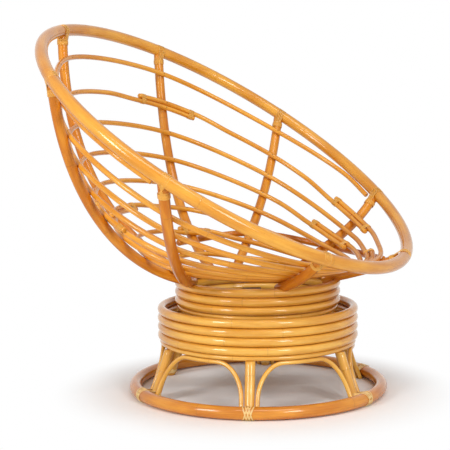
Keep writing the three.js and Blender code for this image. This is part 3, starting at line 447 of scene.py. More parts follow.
def tie_strand(degrees, hand):
    """One strand's path and facings: over the ring's face on a slant, then back round the leg."""
    up = Vector((0, 0, 1))
    middle = around(FLOOR_RING_RADIUS, degrees, FLOOR_RING_LIFT)
    outward = around(1, degrees, 0) - around(0, degrees, 0)
    sideways = up.cross(outward)
    leg = middle - outward * TIE_LEG_DISTANCE
    wrap = FLOOR_RING_POLE + PEEL_THICKNESS * TIE_LAYERS[hand]
    path, facings = [], []
    for loop in range(TIE_LOOPS):
        shift = (loop - (TIE_LOOPS - 1) / 2) * TIE_PITCH
        for k in range(17):
            swing = math.pi * (TIE_SWEEP * k / 16 - TIE_SWEEP / 2)
            out = outward * math.cos(swing) + up * math.sin(swing)
            slant = hand * TIE_SLANT * max(-1, min(1, swing / (math.pi / 2)))
            path.append(middle + out * wrap + sideways * (shift + slant))
            facings.append(out)
        for k in range(9):
            swing = math.pi * k / 8
            out = sideways * hand * math.cos(swing) - outward * math.sin(swing)
            height = up * (TIE_LEG_SLANT * math.cos(swing) + TIE_LEG_PITCH * (loop - 1))
            path.append(leg + out * TIE_LEG_RADIUS + height)
            facings.append(out)
    for point in path:
        point.z = max(point.z, TIE_HALF_THICKNESS + TIE_FLOOR_GAP)
    return cut_corners(path), cut_corners(facings)


straw_peel = peel_skin("straw split peel", pale=(1.0, 0.83, 0.45), deep=(0.88, 0.62, 0.24), edging=0.35)
bm = bmesh.new()
for index, degrees in enumerate(LEG_ANGLES):
    for hand, seed in ((1, 30), (-1, 40)):
        path, facings = tie_strand(degrees, hand)
        pole(bm, path, TIE_HALF_THICKNESS, step=0.0035, sides=8, facings=facings,
             width=TIE_HALF_WIDTH, seed=index + seed)
finish_piece("floor_ring_ties", bm, straw_peel, "base", "peel")

# Legs. Six straight poles, sawn level at both ends, that splay from under the lower stack to the
# inside of the floor ring; each is nailed up into the stack and tied to the ring.
LEG_POLE = 0.0125
LEG_TOP_RADIUS = 0.2449
LEG_TOP = 0.1262
LEG_FOOT_RADIUS = 0.2897
LEG_OVERRUN = 0.01
LEG_SCAR = 0.047
LEG_SCAR_STEP = 0.011
SAWN_FOOT = 0.0004


def level_cut(bm, height, way):
    """Saws off what lies above a height, or below it where the way is -1, and closes the cut."""
    cut = bmesh.ops.bisect_plane(bm, geom=bm.verts[:] + bm.edges[:] + bm.faces[:],
                                 plane_co=(0, 0, height), plane_no=(0, 0, way), clear_outer=True)
    edges = [g for g in cut["geom_cut"] if isinstance(g, bmesh.types.BMEdge)]
    bmesh.ops.contextual_create(bm, geom=edges)


honey = rattan("honey varnished rattan", pale=(0.91, 0.61, 0.16), deep=(0.71, 0.38, 0.06), coat=1.0)
spread = (LEG_FOOT_RADIUS - LEG_TOP_RADIUS) / LEG_TOP
for index, degrees in enumerate(LEG_ANGLES):
    top = around(LEG_TOP_RADIUS - LEG_OVERRUN * spread, degrees, LEG_TOP + LEG_OVERRUN)
    foot = around(LEG_FOOT_RADIUS + LEG_OVERRUN * spread, degrees, -LEG_OVERRUN)
    bm = bmesh.new()
    pole(bm, [top, foot], LEG_POLE, sides=18, scars=[LEG_SCAR + LEG_SCAR_STEP * (index % 3)],
         tone=-0.15 + 0.06 * index, seed=50 + index, rounded=False)
    level_cut(bm, SAWN_FOOT, -1)
    level_cut(bm, LEG_TOP, 1)
    finish_piece(f"leg_pole_{index + 1}", bm, honey, "base", "stack_rattan", f"leg_{index + 1}")

# Arches. Thin poles bent hot over a former between each pair of legs: up beside one leg, flat under
# the stack and down beside the next. They brace the legs and are nailed at both legs and the stack.
ARCH_POLE = 0.0057
ARCH_TOP = 0.1199
ARCH_CORNER_HEIGHT = 0.038
ARCH_CORNER_WIDTH = 0.062
ARCH_SPREAD = 0.0525
ARCH_OVERRUN = 0.004
ARCH_LEG_GAP = 0.0003
ARCH_LEAN = 1.16
ARCH_LENGTH = 0.38
ARCH_SCARS = 0.16
UPRIGHT_STEPS = 8
CORNER_STEPS = 17
FLAT_STEPS = 5


def arch_half():
    """Half an arch from floor to middle: rows of distance from the middle, radius and height."""
    half = []
    corner_end = UPRIGHT_STEPS + CORNER_STEPS
    for k in range(corner_end + FLAT_STEPS + 1):
        height, inset = ARCH_TOP, 0.0
        if k < UPRIGHT_STEPS:
            height = ARCH_CORNER_HEIGHT * k / UPRIGHT_STEPS if k else -ARCH_OVERRUN
        elif k <= corner_end:
            turn = math.pi / 2 * (k - UPRIGHT_STEPS) / CORNER_STEPS
            height = ARCH_CORNER_HEIGHT + (ARCH_TOP - ARCH_CORNER_HEIGHT) * math.sin(turn)
            inset = ARCH_CORNER_WIDTH * (1 - math.cos(turn))
        radius = LEG_TOP_RADIUS + ARCH_SPREAD * (ARCH_TOP - height) / ARCH_TOP
        run = radius * math.pi / 6 - LEG_POLE - ARCH_POLE * ARCH_LEAN - ARCH_LEG_GAP - inset
        if k > corner_end:
            run = half[corner_end][0] * (corner_end + FLAT_STEPS - k) / FLAT_STEPS
        half.append((run, radius, height))
    return half


half = arch_half()
for index, degrees in enumerate(LEG_ANGLES):
    path = [around(r, degrees + 30 - math.degrees(run / r), z) for run, r, z in half]
    path += [around(r, degrees + 30 + math.degrees(run / r), z) for run, r, z in reversed(half[:-1])]
    bm = bmesh.new()
    pole(bm, path, ARCH_POLE, step=0.009, sides=12, scars=leaf_scars(ARCH_LENGTH, 70 + index, ARCH_SCARS),
         tone=-0.3, seed=60 + index, rounded=False)
    level_cut(bm, SAWN_FOOT, -1)
    finish_piece(f"arch_pole_{index + 1}", bm, honey, "base", "stack_rattan", f"arch_{index + 1}")

# Lower stack. Four thick poles and a thin one below, each bent to the same ring and nailed through
# to the ring under it, so that they read as a drum. The varnish has run a little darker between them.
STACK_POLE = 0.011
THIN_POLE = 0.0055
STACK_GAP = 0.0003
STACK_SCARS = 0.3
STACK_FULLNESS = 1.01
STACK_TONES = {"base": (-0.2, 0.0, -0.1, 0.08, 0.3), "seat": (-0.1, 0.05, 0.15, 0.35)}
LOWER_RADIUS = 0.247
LOWER_UNDERSIDE = 0.1265


def stack(place, body, radius, underside, seed):
    """A thin ring with thick ones over it, from its underside up; nodes are named after the body."""
    height = underside + THIN_POLE
    for k, tone in enumerate(STACK_TONES[body]):
        thickness = STACK_POLE if k else THIN_POLE
        name = f"{place}_pole_{k}" if k else f"{place}_thin_pole"
        node = f"{body}_ring_{k}" if k else f"{body}_thin_ring"
        bm = bmesh.new()
        path = circle_path(radius, height, 40 * k + seed)
        pole(bm, path, thickness * STACK_FULLNESS, closed=True, sides=18,
             scars=leaf_scars(2 * math.pi * radius, seed + k, STACK_SCARS), tone=tone, seed=seed + k)
        finish_piece(name, bm, honey, body, "stack_rattan", node)
        height += STACK_POLE + thickness + STACK_GAP


stack("lower", "base", LOWER_RADIUS, LOWER_UNDERSIDE, 11)

# Cross boards of the lower stack. Two boards of sawn softwood, stained dark, halved into each other
# and nailed to the stack; they carry the swivel.
BOARD_ANGLE = 60
BOARD_EDGE = 0.0012


def stained_wood(name, pale, deep):
    """Sawn board: long dark grain under a thin dull stain."""
    material, tree, shader = new_material(name)
    place = tree.nodes.new("ShaderNodeTexCoord")
    turned = tree.nodes.new("ShaderNodeMapping")
    feed(tree, turned, {"Vector": place.outputs["Object"], "Rotation": (0, 0, math.radians(BOARD_ANGLE)),
                        "Scale": (90, 4, 60)})
    grain = noise_node(tree, turned.outputs[0], 1.0, 4.0)
    colour = blend_node(tree, range_node(tree, grain, low=0.35, high=0.65), pale, deep)
    feed(tree, shader, {"Base Color": colour, "Roughness": math_node(tree, "MULTIPLY_ADD", grain, 0.2, 0.55)})
    raise_grain(tree, shader, grain, strength=0.4, distance=0.0006)
    return material


def softened(name, node, edge, material, body, slot):
    """The CAD piece with its faces joined and its sharp edges eased."""
    bm = bmesh.new()
    bm.from_mesh(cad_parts[node].data)
    bmesh.ops.remove_doubles(bm, verts=bm.verts, dist=1e-5)
    bmesh.ops.dissolve_limit(bm, angle_limit=math.radians(2), verts=bm.verts, edges=bm.edges)
    sharp = [e for e in bm.edges if e.is_manifold and e.calc_face_angle(0) > math.radians(50)]
    bmesh.ops.bevel(bm, geom=sharp, offset=edge, segments=2, profile=0.5, affect="EDGES", material=-1)
    finish_piece(name, bm, material, body, slot, node, smooth=False)


dark_board = stained_wood("dark stained board", pale=(0.12, 0.06, 0.03), deep=(0.05, 0.022, 0.01))
for k in (1, 2):
    softened(f"lower_board_{k}", f"base_board_{k}", BOARD_EDGE, dark_board, "base", "board_wood")

# Swivel. A square pressed-steel plate screwed to the boards, a ball race, and a round head that
# turns on it and has two ears for the rocker's pin.
STEEL_EDGE = 0.0006


def coated_steel(name, colour, metallic, roughness):
    """Steel with a thin finish, a little uneven and scuffed."""
    material, tree, shader = new_material(name)
    place = tree.nodes.new("ShaderNodeTexCoord")
    patch = noise_node(tree, place.outputs["Object"], 60.0, 3.0)
    worn = tuple(min(1.0, c * 1.6 + 0.01) for c in colour)
    tint = blend_node(tree, range_node(tree, patch, low=0.45, high=0.75), colour, worn)
    dull = math_node(tree, "MULTIPLY_ADD", patch, 0.2, roughness - 0.1)
    feed(tree, shader, {"Base Color": tint, "Roughness": dull, "Metallic": metallic})
    return material


black_steel = coated_steel("black painted steel", (0.02, 0.02, 0.021), metallic=0.0, roughness=0.45)
plain_steel = coated_steel("plain steel", (0.42, 0.42, 0.43), metallic=1.0, roughness=0.35)
softened("swivel_plate", "swivel_base_plate", STEEL_EDGE, black_steel, "base", "black_steel")
softened("swivel_race", "swivel_bearing", STEEL_EDGE, plain_steel, "base", "plain_steel")
softened("swivel_head_plate", "swivel_head", STEEL_EDGE, black_steel, "swivel", "black_steel")
softened("rocker_pin", "pivot_pin", STEEL_EDGE, plain_steel, "swivel", "plain_steel")

# Rocker. A steel plate under the seat's boards with two lugs on the pin, and two coil springs of
# thick wire, front and back, that bring the bowl level again; each gives as the plate comes down.
SPRING_LOW = 0.1643
SPRING_HIGH = 0.2130
SPRING_OFFSET = 0.046
COIL_RADIUS = 0.015
COIL_WIRE = 0.00275
COIL_TURNS = 5
COIL_STEPS = 28

softened("rocker_top_plate", "rocker_plate", STEEL_EDGE, black_steel, "seat", "black_steel")
for name, node, way in (("front_spring", "rock_spring_front", -1), ("rear_spring", "rock_spring_rear", 1)):
    coil = []
    offset = Vector((0, way * SPRING_OFFSET, 0))
    for k in range(COIL_TURNS * COIL_STEPS + 1):
        height = SPRING_LOW + (SPRING_HIGH - SPRING_LOW) * k / (COIL_TURNS * COIL_STEPS)
        coil.append(around(COIL_RADIUS, 360 * k / COIL_STEPS, height) + offset)
    bm = bmesh.new()
    pole(bm, coil, COIL_WIRE, step=0.004, sides=10, seed=3)
    spring = finish_piece(name, bm, plain_steel, None, "plain_steel", node)
    foot = around(0, 0, SPRING_LOW) + offset
    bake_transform(spring, "swivel", "seat", start=foot, end=foot + Vector((0, 0, SPRING_HIGH - SPRING_LOW)))

# Upper stack. Three thick poles over a thin one, bent smaller than the lower stack so that the
# rocking seat dips inside it; its cross boards are hidden and sit on the rocker's plate.
UPPER_RADIUS = 0.202
UPPER_UNDERSIDE = 0.2157

for k in (1, 2):
    softened(f"upper_board_{k}", f"seat_board_{k}", BOARD_EDGE, dark_board, "seat", "board_wood")
stack("upper", "seat", UPPER_RADIUS, UPPER_UNDERSIDE, 21)

# Ribs. Eight poles, each bent by eye on the bowl's former: nailed inside the top ring of the stack,
# over it, out and up to the rim, where the end is scooped to fit. The wood is redder than the hoops.
RIM_RADIUS = 0.534
RIM_HEIGHT = 0.642
RIM_TILT = math.radians(33.9)
RIM_SIDES = 48
RIM_CHORD = math.cos(math.pi / RIM_SIDES)
RIB_POLE = 0.013
RIB_FIRST_ANGLE = 12.5
RIB_FOOT = 0.034
RIB_NOTCH = 0.01
RIB_BEND = 0.38
RIB_SCOOP = 0.013
RIB_LOOK = 0.004
RIB_SCARS = 0.26
TOP_RING_HEIGHT = 0.2826
CROSSING_ANGLES = [21, 80, 131, 155, 193, 224, 240, 314]
FOOT_SLOPES = [14, 31, 34, 23, 23, 12, 4, 16]
RIM_SLOPES = [24, 50, 69, 86, 91, 85, 73, 33]
RIB_TONES = [0.1, 0.0, -0.1, 0.0, 0.15, 0.05, 0.3, 0.1]

rim_centre = Vector((0, 0, RIM_HEIGHT))
rim_front = Vector((0, -math.cos(RIM_TILT), -math.sin(RIM_TILT)))
rim_up = Vector((0, -math.sin(RIM_TILT), math.cos(RIM_TILT)))


def rim_way(degrees):
    turn = math.radians(degrees)
    return rim_front * math.cos(turn) + Vector((1, 0, 0)) * math.sin(turn)


def rim_point(degrees):
    """A point on the solid rim's middle line, half-way along one of its short straight sides."""
    return rim_centre + rim_way(degrees) * (RIM_RADIUS * RIM_CHORD)


class Rib:
    """One rib's line from the rim down to its foot, with the direction into the bowl."""

    def __init__(self, number):
        self.degrees = RIB_FIRST_ANGLE + 45 * number
        head = rim_point(self.degrees)
        rest = TOP_RING_HEIGHT + STACK_POLE + RIB_POLE - RIB_NOTCH
        crossing = around(UPPER_RADIUS, CROSSING_ANGLES[number], rest)
        outward = Vector((head.x - crossing.x, head.y - crossing.y, 0)).normalized()
        self.inward = Vector((0, 0, 1)) - outward

        def slope(degrees):
            return outward * math.cos(math.radians(degrees)) + Vector((0, 0, math.sin(math.radians(degrees))))

        foot = crossing - slope(FOOT_SLOPES[number]) * RIB_FOOT
        reach = RIB_BEND * (head - foot).length
        low = foot + slope(FOOT_SLOPES[number]) * reach
        high = head - slope(RIM_SLOPES[number]) * reach
        line = []
        for k in range(121):
            t = 1 - k / 120
            lower_part = foot * (1 - t) ** 3 + low * 3 * t * (1 - t) ** 2
            line.append(lower_part + high * 3 * t * t * (1 - t) + head * t ** 3)
        self.route = Route(line)
        self.length = self.route.length

    def point(self, distance):
        return self.route.read(distance)

    def upward(self, distance):
        return (self.point(distance - RIB_LOOK) - self.point(distance + RIB_LOOK)).normalized()


ribs = [Rib(number) for number in range(8)]
chestnut = rattan("chestnut varnished rattan", pale=(0.82, 0.36, 0.035), deep=(0.56, 0.17, 0.008), coat=0.5)
for k, rib in enumerate(ribs):
    path = [rib.point(RIB_SCOOP + (rib.length - RIB_SCOOP) * j / 90) for j in range(91)]
    bm = bmesh.new()
    pole(bm, path, RIB_POLE, sides=18, scars=leaf_scars(rib.length, 81 + k, RIB_SCARS), tone=RIB_TONES[k],
         seed=80 + k)
    finish_piece(f"rib_pole_{k + 1}", bm, chestnut, "seat", "rib_rattan", f"rib_{k + 1}")

# Hoops. Thin poles laid inside the ribs and nailed at each crossing. The uppermost is one open
# length whose ends tuck up under the rim; the others close on themselves with their ends side by side.
RIM_POLE = 0.0159
HOOP_POLE = 0.00675
HOOP_SHARES = [0.09, 0.21, 0.32, 0.43, 0.54, 0.65, 0.765, 0.9]
HOOP_SAGS = [0.1, 0.13, 0.055, 0.012, 0, 0, 0, 0.18]
HOOP_TONES = [0.0, 0.0, -0.1, 0.1, -0.15, 0.1, 0.2, 0.0]
HOOP_SCARS = 0.34
HOOP_STEP = 0.008
FIRST_HOOP_LEAST = 0.051
HOOPS_APART_LEAST = 0.0155
OPEN_HOOP_LENGTH = 2.2
OPEN_HOOP_RIBS = range(2, 6)
TUCK_LEAN = 0.35
TUCK_GAP = 0.0012
LASHING_ROOM = 0.0019
RIM_TOUCH = 12.5


def hoop_distances(number):
    """Where the hoops cross a rib, from the rim down; the open hoop passes the front ribs by."""
    row, least = [], FIRST_HOOP_LEAST
    for hoop, share in enumerate(HOOP_SHARES):
        if hoop == 0 and number not in OPEN_HOOP_RIBS:
            row.append(None)
            continue
        sagged = share + HOOP_SAGS[number] * 4 * share * (1 - share)
        row.append(max(sagged * ribs[number].length, least))
        least = row[-1] + HOOPS_APART_LEAST
    return row


def through(points, closed, count):
    """A smooth line through the points, with the pace of the spaces between them."""
    if closed:
        points = [points[-1], *points, points[0], points[1]]
    else:
        points = [points[0] * 2 - points[1], *points, points[-1] * 2 - points[-2]]
    spans = len(points) - 3
    line = []
    for k in range(count if closed else count + 1):
        place = spans * k / count
        i = min(int(place), spans - 1)
        p = points[i:i + 4]
        t = [0.0]
        for a, b in zip(p, p[1:]):
            t.append(t[-1] + max((b - a).length, 1e-6) ** 0.5)
        at = t[1] + (place - i) * (t[2] - t[1])
        a1 = p[0].lerp(p[1], (at - t[0]) / (t[1] - t[0]))
        a2 = p[1].lerp(p[2], (at - t[1]) / (t[2] - t[1]))
        a3 = p[2].lerp(p[3], (at - t[2]) / (t[3] - t[2]))
        b1 = a1.lerp(a2, (at - t[0]) / (t[2] - t[0]))
        b2 = a2.lerp(a3, (at - t[1]) / (t[3] - t[1]))
        line.append(b1.lerp(b2, (at - t[1]) / (t[2] - t[1])))
    return line


def settled(rib_row, distance_row, closed, side, thickness, ends=()):
    """Crossing points against the ribs, square to rib and pole, and their facings."""
    reach = RIB_POLE + thickness
    spots = [r.point(d) + r.inward.normalized() * side * reach for r, d in zip(rib_row, distance_row)]
    for _ in range(3):
        whole = [*ends[:1], *spots, *ends[1:]]
        looks = []
        for k, (rib, distance) in enumerate(zip(rib_row, distance_row)):
            j = k + len(ends[:1])
            after = whole[(j + 1) % len(whole)] if closed else whole[min(j + 1, len(whole) - 1)]
            before = whole[j - 1] if closed else whole[max(j - 1, 0)]
            normal = rib.upward(distance).cross((after - before).normalized()).normalized()
            if normal.dot(rib.inward) * side < 0:
                normal = -normal
            looks.append(normal)
            spots[k] = rib.point(distance) + normal * reach
    return spots, looks


def under_rim(rib_index, turn):
    """Where the open hoop lies against the rim from below, beside a rib."""
    degrees = ribs[rib_index].degrees + turn
    down = (rim_up * -1 + rim_way(degrees) * -TUCK_LEAN).normalized()
    return rim_point(degrees) + down * (RIM_POLE + HOOP_POLE + TUCK_GAP)


amber = rattan("amber varnished rattan", pale=(0.92, 0.49, 0.07), deep=(0.7, 0.28, 0.016))
distances = [hoop_distances(number) for number in range(8)]
tuck = math.degrees((RIB_POLE + LASHING_ROOM + HOOP_POLE) / RIM_RADIUS)
first_touch, last_touch = under_rim(1, tuck + RIM_TOUCH), under_rim(6, -tuck - RIM_TOUCH)
spots, looks = settled([ribs[k] for k in OPEN_HOOP_RIBS], [distances[k][0] for k in OPEN_HOOP_RIBS], False, 1,
                       HOOP_POLE, (first_touch, last_touch))
nail_spots = list(zip(spots, looks))
path = through([under_rim(1, tuck), first_touch, *spots, last_touch, under_rim(6, -tuck)], False, 150)
bm = bmesh.new()
pole(bm, path, HOOP_POLE, scars=leaf_scars(OPEN_HOOP_LENGTH, 101, HOOP_SCARS), tone=HOOP_TONES[0], seed=90)
finish_piece("hoop_pole_1", bm, amber, "seat", "hoop_rattan", "hoop_1")

# Splices of the hoops. Two ends lie side by side for a hand's width over a rib, each going on in the
# line of its own pole, and are bound near both cut ends with turns of split peel that cross.
SPLICE_RIBS = [[], [1, 3], [0], [1], [5], [4], [3], [5]]
SPLICE_HALF = 0.095
SPLICE_EASE = 0.13
SPLICE_SHIFT = HOOP_POLE + 0.0002
BINDING_TURNS = 5
BINDING_STEPS = 28
BINDING_INSET = 0.013
BINDING_HALF_SPAN = 0.0066
BINDING_LIFT = 0.0006
BINDING_LAYER = 0.0003
BINDING_HALF_THICKNESS = 0.0004
BINDING_HALF_WIDTH = 0.0012


def eased(value):
    value = min(max(value, 0), 1)
    return value * value * (3 - 2 * value)


class Hoop:
    """A closed hoop's middle line, read by the distance from its crossing with the first rib."""

    def __init__(self, number):
        self.spots, self.looks = settled(ribs, [row[number] for row in distances], True, 1, HOOP_POLE)
        self.route = Route(through(self.spots, True, 240), closed=True)
        self.facings = []
        for k in range(240):
            rib, share = divmod(k, 30)
            self.facings.append(self.looks[rib].lerp(self.looks[(rib + 1) % 8], share / 30).normalized())
        self.facings.append(self.facings[0])
        self.stops = [self.route.reach[30 * k] for k in range(9)]

    def point(self, s):
        return self.route.read(s % self.route.length)

    def facing(self, s):
        return self.route.read(s % self.route.length, self.facings).normalized()

    def sideways(self, s):
        return self.route.heading(s).cross(self.facing(s)).normalized()

    def splice(self, rib):
        """The middle of a splice at a rib, half its length, and how far its ends ease in."""
        ahead = (self.spots[(rib + 1) % 8] - self.spots[rib]).length
        behind = (self.spots[rib - 1] - self.spots[rib]).length
        room = min(ahead, behind)
        return self.stops[rib], min(SPLICE_HALF, room / 3), min(SPLICE_EASE, room / 2)

    def length_between(self, first, last):
        """The path and length of one pole, which changes sides between its two splices."""
        start, lap, ease = first
        end, end_lap, end_ease = last
        end += self.route.length if end <= start else 0
        run = end - start + lap + end_lap
        count = round(run / HOOP_STEP)
        path = []
        for k in range(count + 1):
            s = start - lap + run * k / count
            if s < (start + end) / 2:
                shift = eased((s - start - lap) / ease) - 1
            else:
                shift = 1 - eased((end - s - end_lap) / end_ease)
            path.append(self.point(s) + self.sideways(s) * shift * SPLICE_SHIFT)
        return path, run

    def binding(self, middle, strand):
        """One strand of a splice's tie: a flattened coil round both poles, with its facings."""
        path, facings = [], []
        for k in range(BINDING_TURNS * BINDING_STEPS + 1):
            share = k / (BINDING_TURNS * BINDING_STEPS)
            s = middle + strand * BINDING_HALF_SPAN * (2 * share - 1)
            swing = 2 * math.pi * k / BINDING_STEPS
            side = self.sideways(s)
            out = self.facing(s) * math.cos(swing) + side * math.sin(swing)
            lift = HOOP_POLE + BINDING_LIFT + BINDING_LAYER * strand
            bulge = side * SPLICE_SHIFT * max(-1, min(1, 3 * math.sin(swing)))
            path.append(self.point(s) + out * lift + bulge)
            facings.append(out)
        return path, facings


golden_peel = peel_skin("golden split peel", pale=(1.0, 0.62, 0.15), deep=(0.86, 0.42, 0.06), edging=0.5)
ties = bmesh.new()
for index in range(1, 8):
    hoop = Hoop(index)
    splices = [hoop.splice(rib) for rib in SPLICE_RIBS[index]]
    bm = bmesh.new()
    for k, splice in enumerate(splices):
        path, run = hoop.length_between(splice, splices[(k + 1) % len(splices)])
        pole(bm, path, HOOP_POLE, scars=leaf_scars(run, 101 + index + 20 * k, HOOP_SCARS),
             tone=HOOP_TONES[index], seed=91 + index + 9 * k)
    finish_piece(f"hoop_pole_{index + 1}", bm, amber, "seat", "hoop_rattan", f"hoop_{index + 1}")
    for rib, (spot, look) in enumerate(zip(hoop.spots, hoop.looks)):
        if rib in SPLICE_RIBS[index]:
            side = hoop.sideways(hoop.stops[rib])
            nail_spots += [(spot + side * SPLICE_SHIFT, look), (spot - side * SPLICE_SHIFT, look)]
        else:
            nail_spots.append((spot, look))
    for start, lap, _ in splices:
        for way in (-1, 1):
            for strand in (-1, 1):
                path, facings = hoop.binding(start + way * (lap - BINDING_INSET), strand)
                pole(ties, path, BINDING_HALF_THICKNESS, step=0.003, sides=6, facings=facings,
                     width=BINDING_HALF_WIDTH, seed=120 + index)
finish_piece("splice_ties", ties, golden_peel, "seat", "peel")

# Nails of the hoops. One round wire nail through each hoop into the rib behind it, driven flush from
# inside the bowl.
NAIL_FOOT_RADIUS = 0.0019
NAIL_TOP_RADIUS = 0.0012
NAIL_HEAD_DEPTH = 0.0012
NAIL_SUNK = 0.0003

bm = bmesh.new()
for spot, look in nail_spots:
    turn = look.to_track_quat("Z", "Y").to_matrix().to_4x4()
    seat = Matrix.Translation(spot + look * (HOOP_POLE - NAIL_SUNK)) @ turn
    bmesh.ops.create_cone(bm, cap_ends=True, segments=10, radius1=NAIL_FOOT_RADIUS, radius2=NAIL_TOP_RADIUS,
                          depth=NAIL_HEAD_DEPTH, matrix=seat)
dark_nail = coated_steel("dark nail", (0.05, 0.03, 0.02), metallic=0.6, roughness=0.5)
finish_piece("hoop_nails", bm, dark_nail, "seat", "plain_steel")

# Outer brace. A pole bent round outside the ribs, low on one side, nailed where it crosses them, and
# painted darker as shade; its ends are left free beside the front lashing and behind the back rib.
BRACE_POLE = 0.009
BRACE_SHARES = [0.05, 0.55, 0.68, 0.77, 0.8]
BRACE_STEPS = 200
BRACE_FROM = 15
BRACE_TO = 160
BRACE_LENGTH = 0.7
BRACE_SCARS = 0.22

braced = ribs[:len(BRACE_SHARES)]
places = [share * rib.length for share, rib in zip(BRACE_SHARES, braced)]
path = through(settled(braced, places, False, -1, BRACE_POLE)[0], False, BRACE_STEPS)[BRACE_FROM:BRACE_TO]
bm = bmesh.new()
# Painted shade: the brace's tone is set darker than the other poles' for the shade it lies in under the bowl.
pole(bm, path, BRACE_POLE, scars=leaf_scars(BRACE_LENGTH, 140, BRACE_SCARS), tone=0.5, seed=140)
finish_piece("brace_pole", bm, chestnut, "seat", "rib_rattan", "outer_brace")

# Rim. The thickest pole of the chair, bent to a full ring; its ends are cut on a long slant, glued
# and pinned, and hardly show.
RIM_SCARS = 0.42

amber_rim = rattan("amber rim rattan", pale=(0.88, 0.49, 0.08), deep=(0.66, 0.28, 0.02), coat=0.85)
path = [rim_centre + rim_way(360 * k / 240 + 200) * RIM_RADIUS for k in range(240)]
bm = bmesh.new()
pole(bm, path, RIM_POLE, closed=True, sides=24, step=0.014,
     scars=leaf_scars(2 * math.pi * RIM_RADIUS, 150, RIM_SCARS), seed=150)
finish_piece("rim_pole", bm, amber_rim, "seat", "rim_rattan", "rim")

# Rim lashings. One long strand of soaked peel at each rib: loops over the rim side by side, each
# drawn round the rib's neck, then turns round the neck that pull them together; the end is tucked in.
LOOPS = 5
LOOP_WIDTH = 0.003
LOOP_LAYER = PEEL_THICKNESS / 2 + 0.0002
RIM_FAN = 0.0045
RIM_GAP = 0.0012
NECK_RADIUS = RIB_POLE + LOOP_LAYER
NECK_FAN = 0.0034
NECK_PITCH = 0.0013
NECK_TOP = 0.006
NECK_START = 0.0025
NECK_STEPS = 9
CROSSING = 0.9
CROSSING_LIFT = 0.0003
TURN_PITCH = 0.0027
TURN_STEPS = 16
TURNS_MOST = 4
TURNS_CLEAR = 0.001
TURNS_LEAD = 0.6
TURNS_RISE = 2.2


def over_rim(inner, outer):
    """The corners that a taut strand touches on its way over the rim, seen along the rim."""
    def cross(a, b, c):
        return (b.x - a.x) * (c.y - a.y) - (b.y - a.y) * (c.x - a.x)

    swings = [-math.pi / 2 + 2 * math.pi * k / 24 for k in range(24)]
    corners = [Vector((math.cos(swing), math.sin(swing))) * (RIM_POLE + LOOP_LAYER) for swing in swings]
    chain = [inner]
    for corner in corners + [outer]:
        while len(chain) > 1 and cross(chain[-2], chain[-1], corner) <= 0:
            chain.pop()
        chain.append(corner)
    return chain[1:-1]


def loop_tilt(order):
    """How far round the neck a loop leaves it, by its order from the middle one."""
    return math.asin(order * NECK_FAN / NECK_RADIUS)


class Neck:
    """The neck of a rib under the rim, with its own directions: across, lift and inward."""

    def __init__(self, rib):
        self.rib = rib
        self.head = rib.route.points[0]
        self.across = rim_up.cross(rim_way(rib.degrees)).normalized()
        upward = rib.upward(NECK_TOP)
        self.lean = upward.dot(self.across)
        self.lift = (upward - self.across * self.lean).normalized()
        self.inward = self.across.cross(self.lift).normalized()
        if self.inward.dot(rib.inward) < 0:
            self.inward = -self.inward
        clear = RIM_POLE + RIM_GAP + NECK_RADIUS * abs(self.lean)
        self.nearest = clear / math.sqrt(1 - self.lean * self.lean)

    def round_rib(self, distance, swing, over=0.0):
        """A point on the neck at a distance below the rim's middle, and the way that it faces."""
        along = self.rib.upward(distance)
        side = (self.across - along * self.across.dot(along)).normalized()
        facing = side.cross(along).normalized()
        if facing.dot(self.rib.inward) < 0:
            facing = -facing
        out = facing * math.cos(swing) + side * math.sin(swing)
        return self.rib.point(distance) + out * (NECK_RADIUS + over), out

    def flat(self, point):
        away = point - self.head
        return Vector((away.dot(self.inward), away.dot(self.lift)))

    def loop(self, number):
        """One loop of the lashing: up over the rim, down behind it and half round the neck."""
        order = (LOOPS - 1) / 2 - number
        level = self.nearest + NECK_START + number * NECK_PITCH
        tilt = loop_tilt(order)
        begin = math.pi + tilt * CROSSING
        finish = tilt if order >= 0 else 2 * math.pi + tilt
        inner = self.round_rib(level - NECK_PITCH / 2, tilt)
        outer = self.round_rib(level, begin, CROSSING_LIFT * (number % 2))
        strand = [inner]
        for corner in over_rim(self.flat(inner[0]), self.flat(outer[0])):
            out = self.inward * corner.x + self.lift * corner.y
            beside = self.across * (order * RIM_FAN - self.nearest * self.lean / 2)
            strand.append((self.head + out + beside, out.normalized()))
        strand.append(outer)
        for k in range(1, NECK_STEPS):
            strand.append(self.round_rib(level, begin + (finish - begin) * k / NECK_STEPS))
        return strand

    def lashing(self, first_hoop):
        """The whole strand: its loops, then its turns round the neck down to the first hoop."""
        loops = [self.loop(number) for number in range(LOOPS)]
        strand = [place for loop in loops for place in loop]
        tilt = loop_tilt((1 - LOOPS) / 2)
        level = self.nearest + NECK_START + LOOPS * NECK_PITCH
        last_look = loops[-1][0][1]
        bridge = self.round_rib(level - NECK_PITCH, tilt - TURNS_LEAD / 2, PEEL_THICKNESS / 2)[0]
        strand.append((bridge, last_look))
        level -= TURNS_RISE * NECK_PITCH
        turns = min(TURNS_MOST, int((first_hoop - HOOP_POLE - TURNS_CLEAR - level) / TURN_PITCH))
        for k in range(max(turns, 1) * TURN_STEPS + 1):
            swing = tilt - TURNS_LEAD - 2 * math.pi * k / TURN_STEPS
            strand.append(self.round_rib(level + TURN_PITCH * k / TURN_STEPS, swing, PEEL_THICKNESS))
        return strand


bm = bmesh.new()
for index, rib in enumerate(ribs):
    first_hoop = next(d for d in distances[index] if d is not None)
    path, facings = zip(*Neck(rib).lashing(first_hoop))
    pole(bm, path, PEEL_THICKNESS / 2, step=0.0028, sides=6, facings=facings, width=LOOP_WIDTH / 2,
         seed=160 + index)
finish_piece("rim_lashings", bm, golden_peel, "seat", "peel", *[f"rim_lashing_{k}" for k in range(1, 9)])

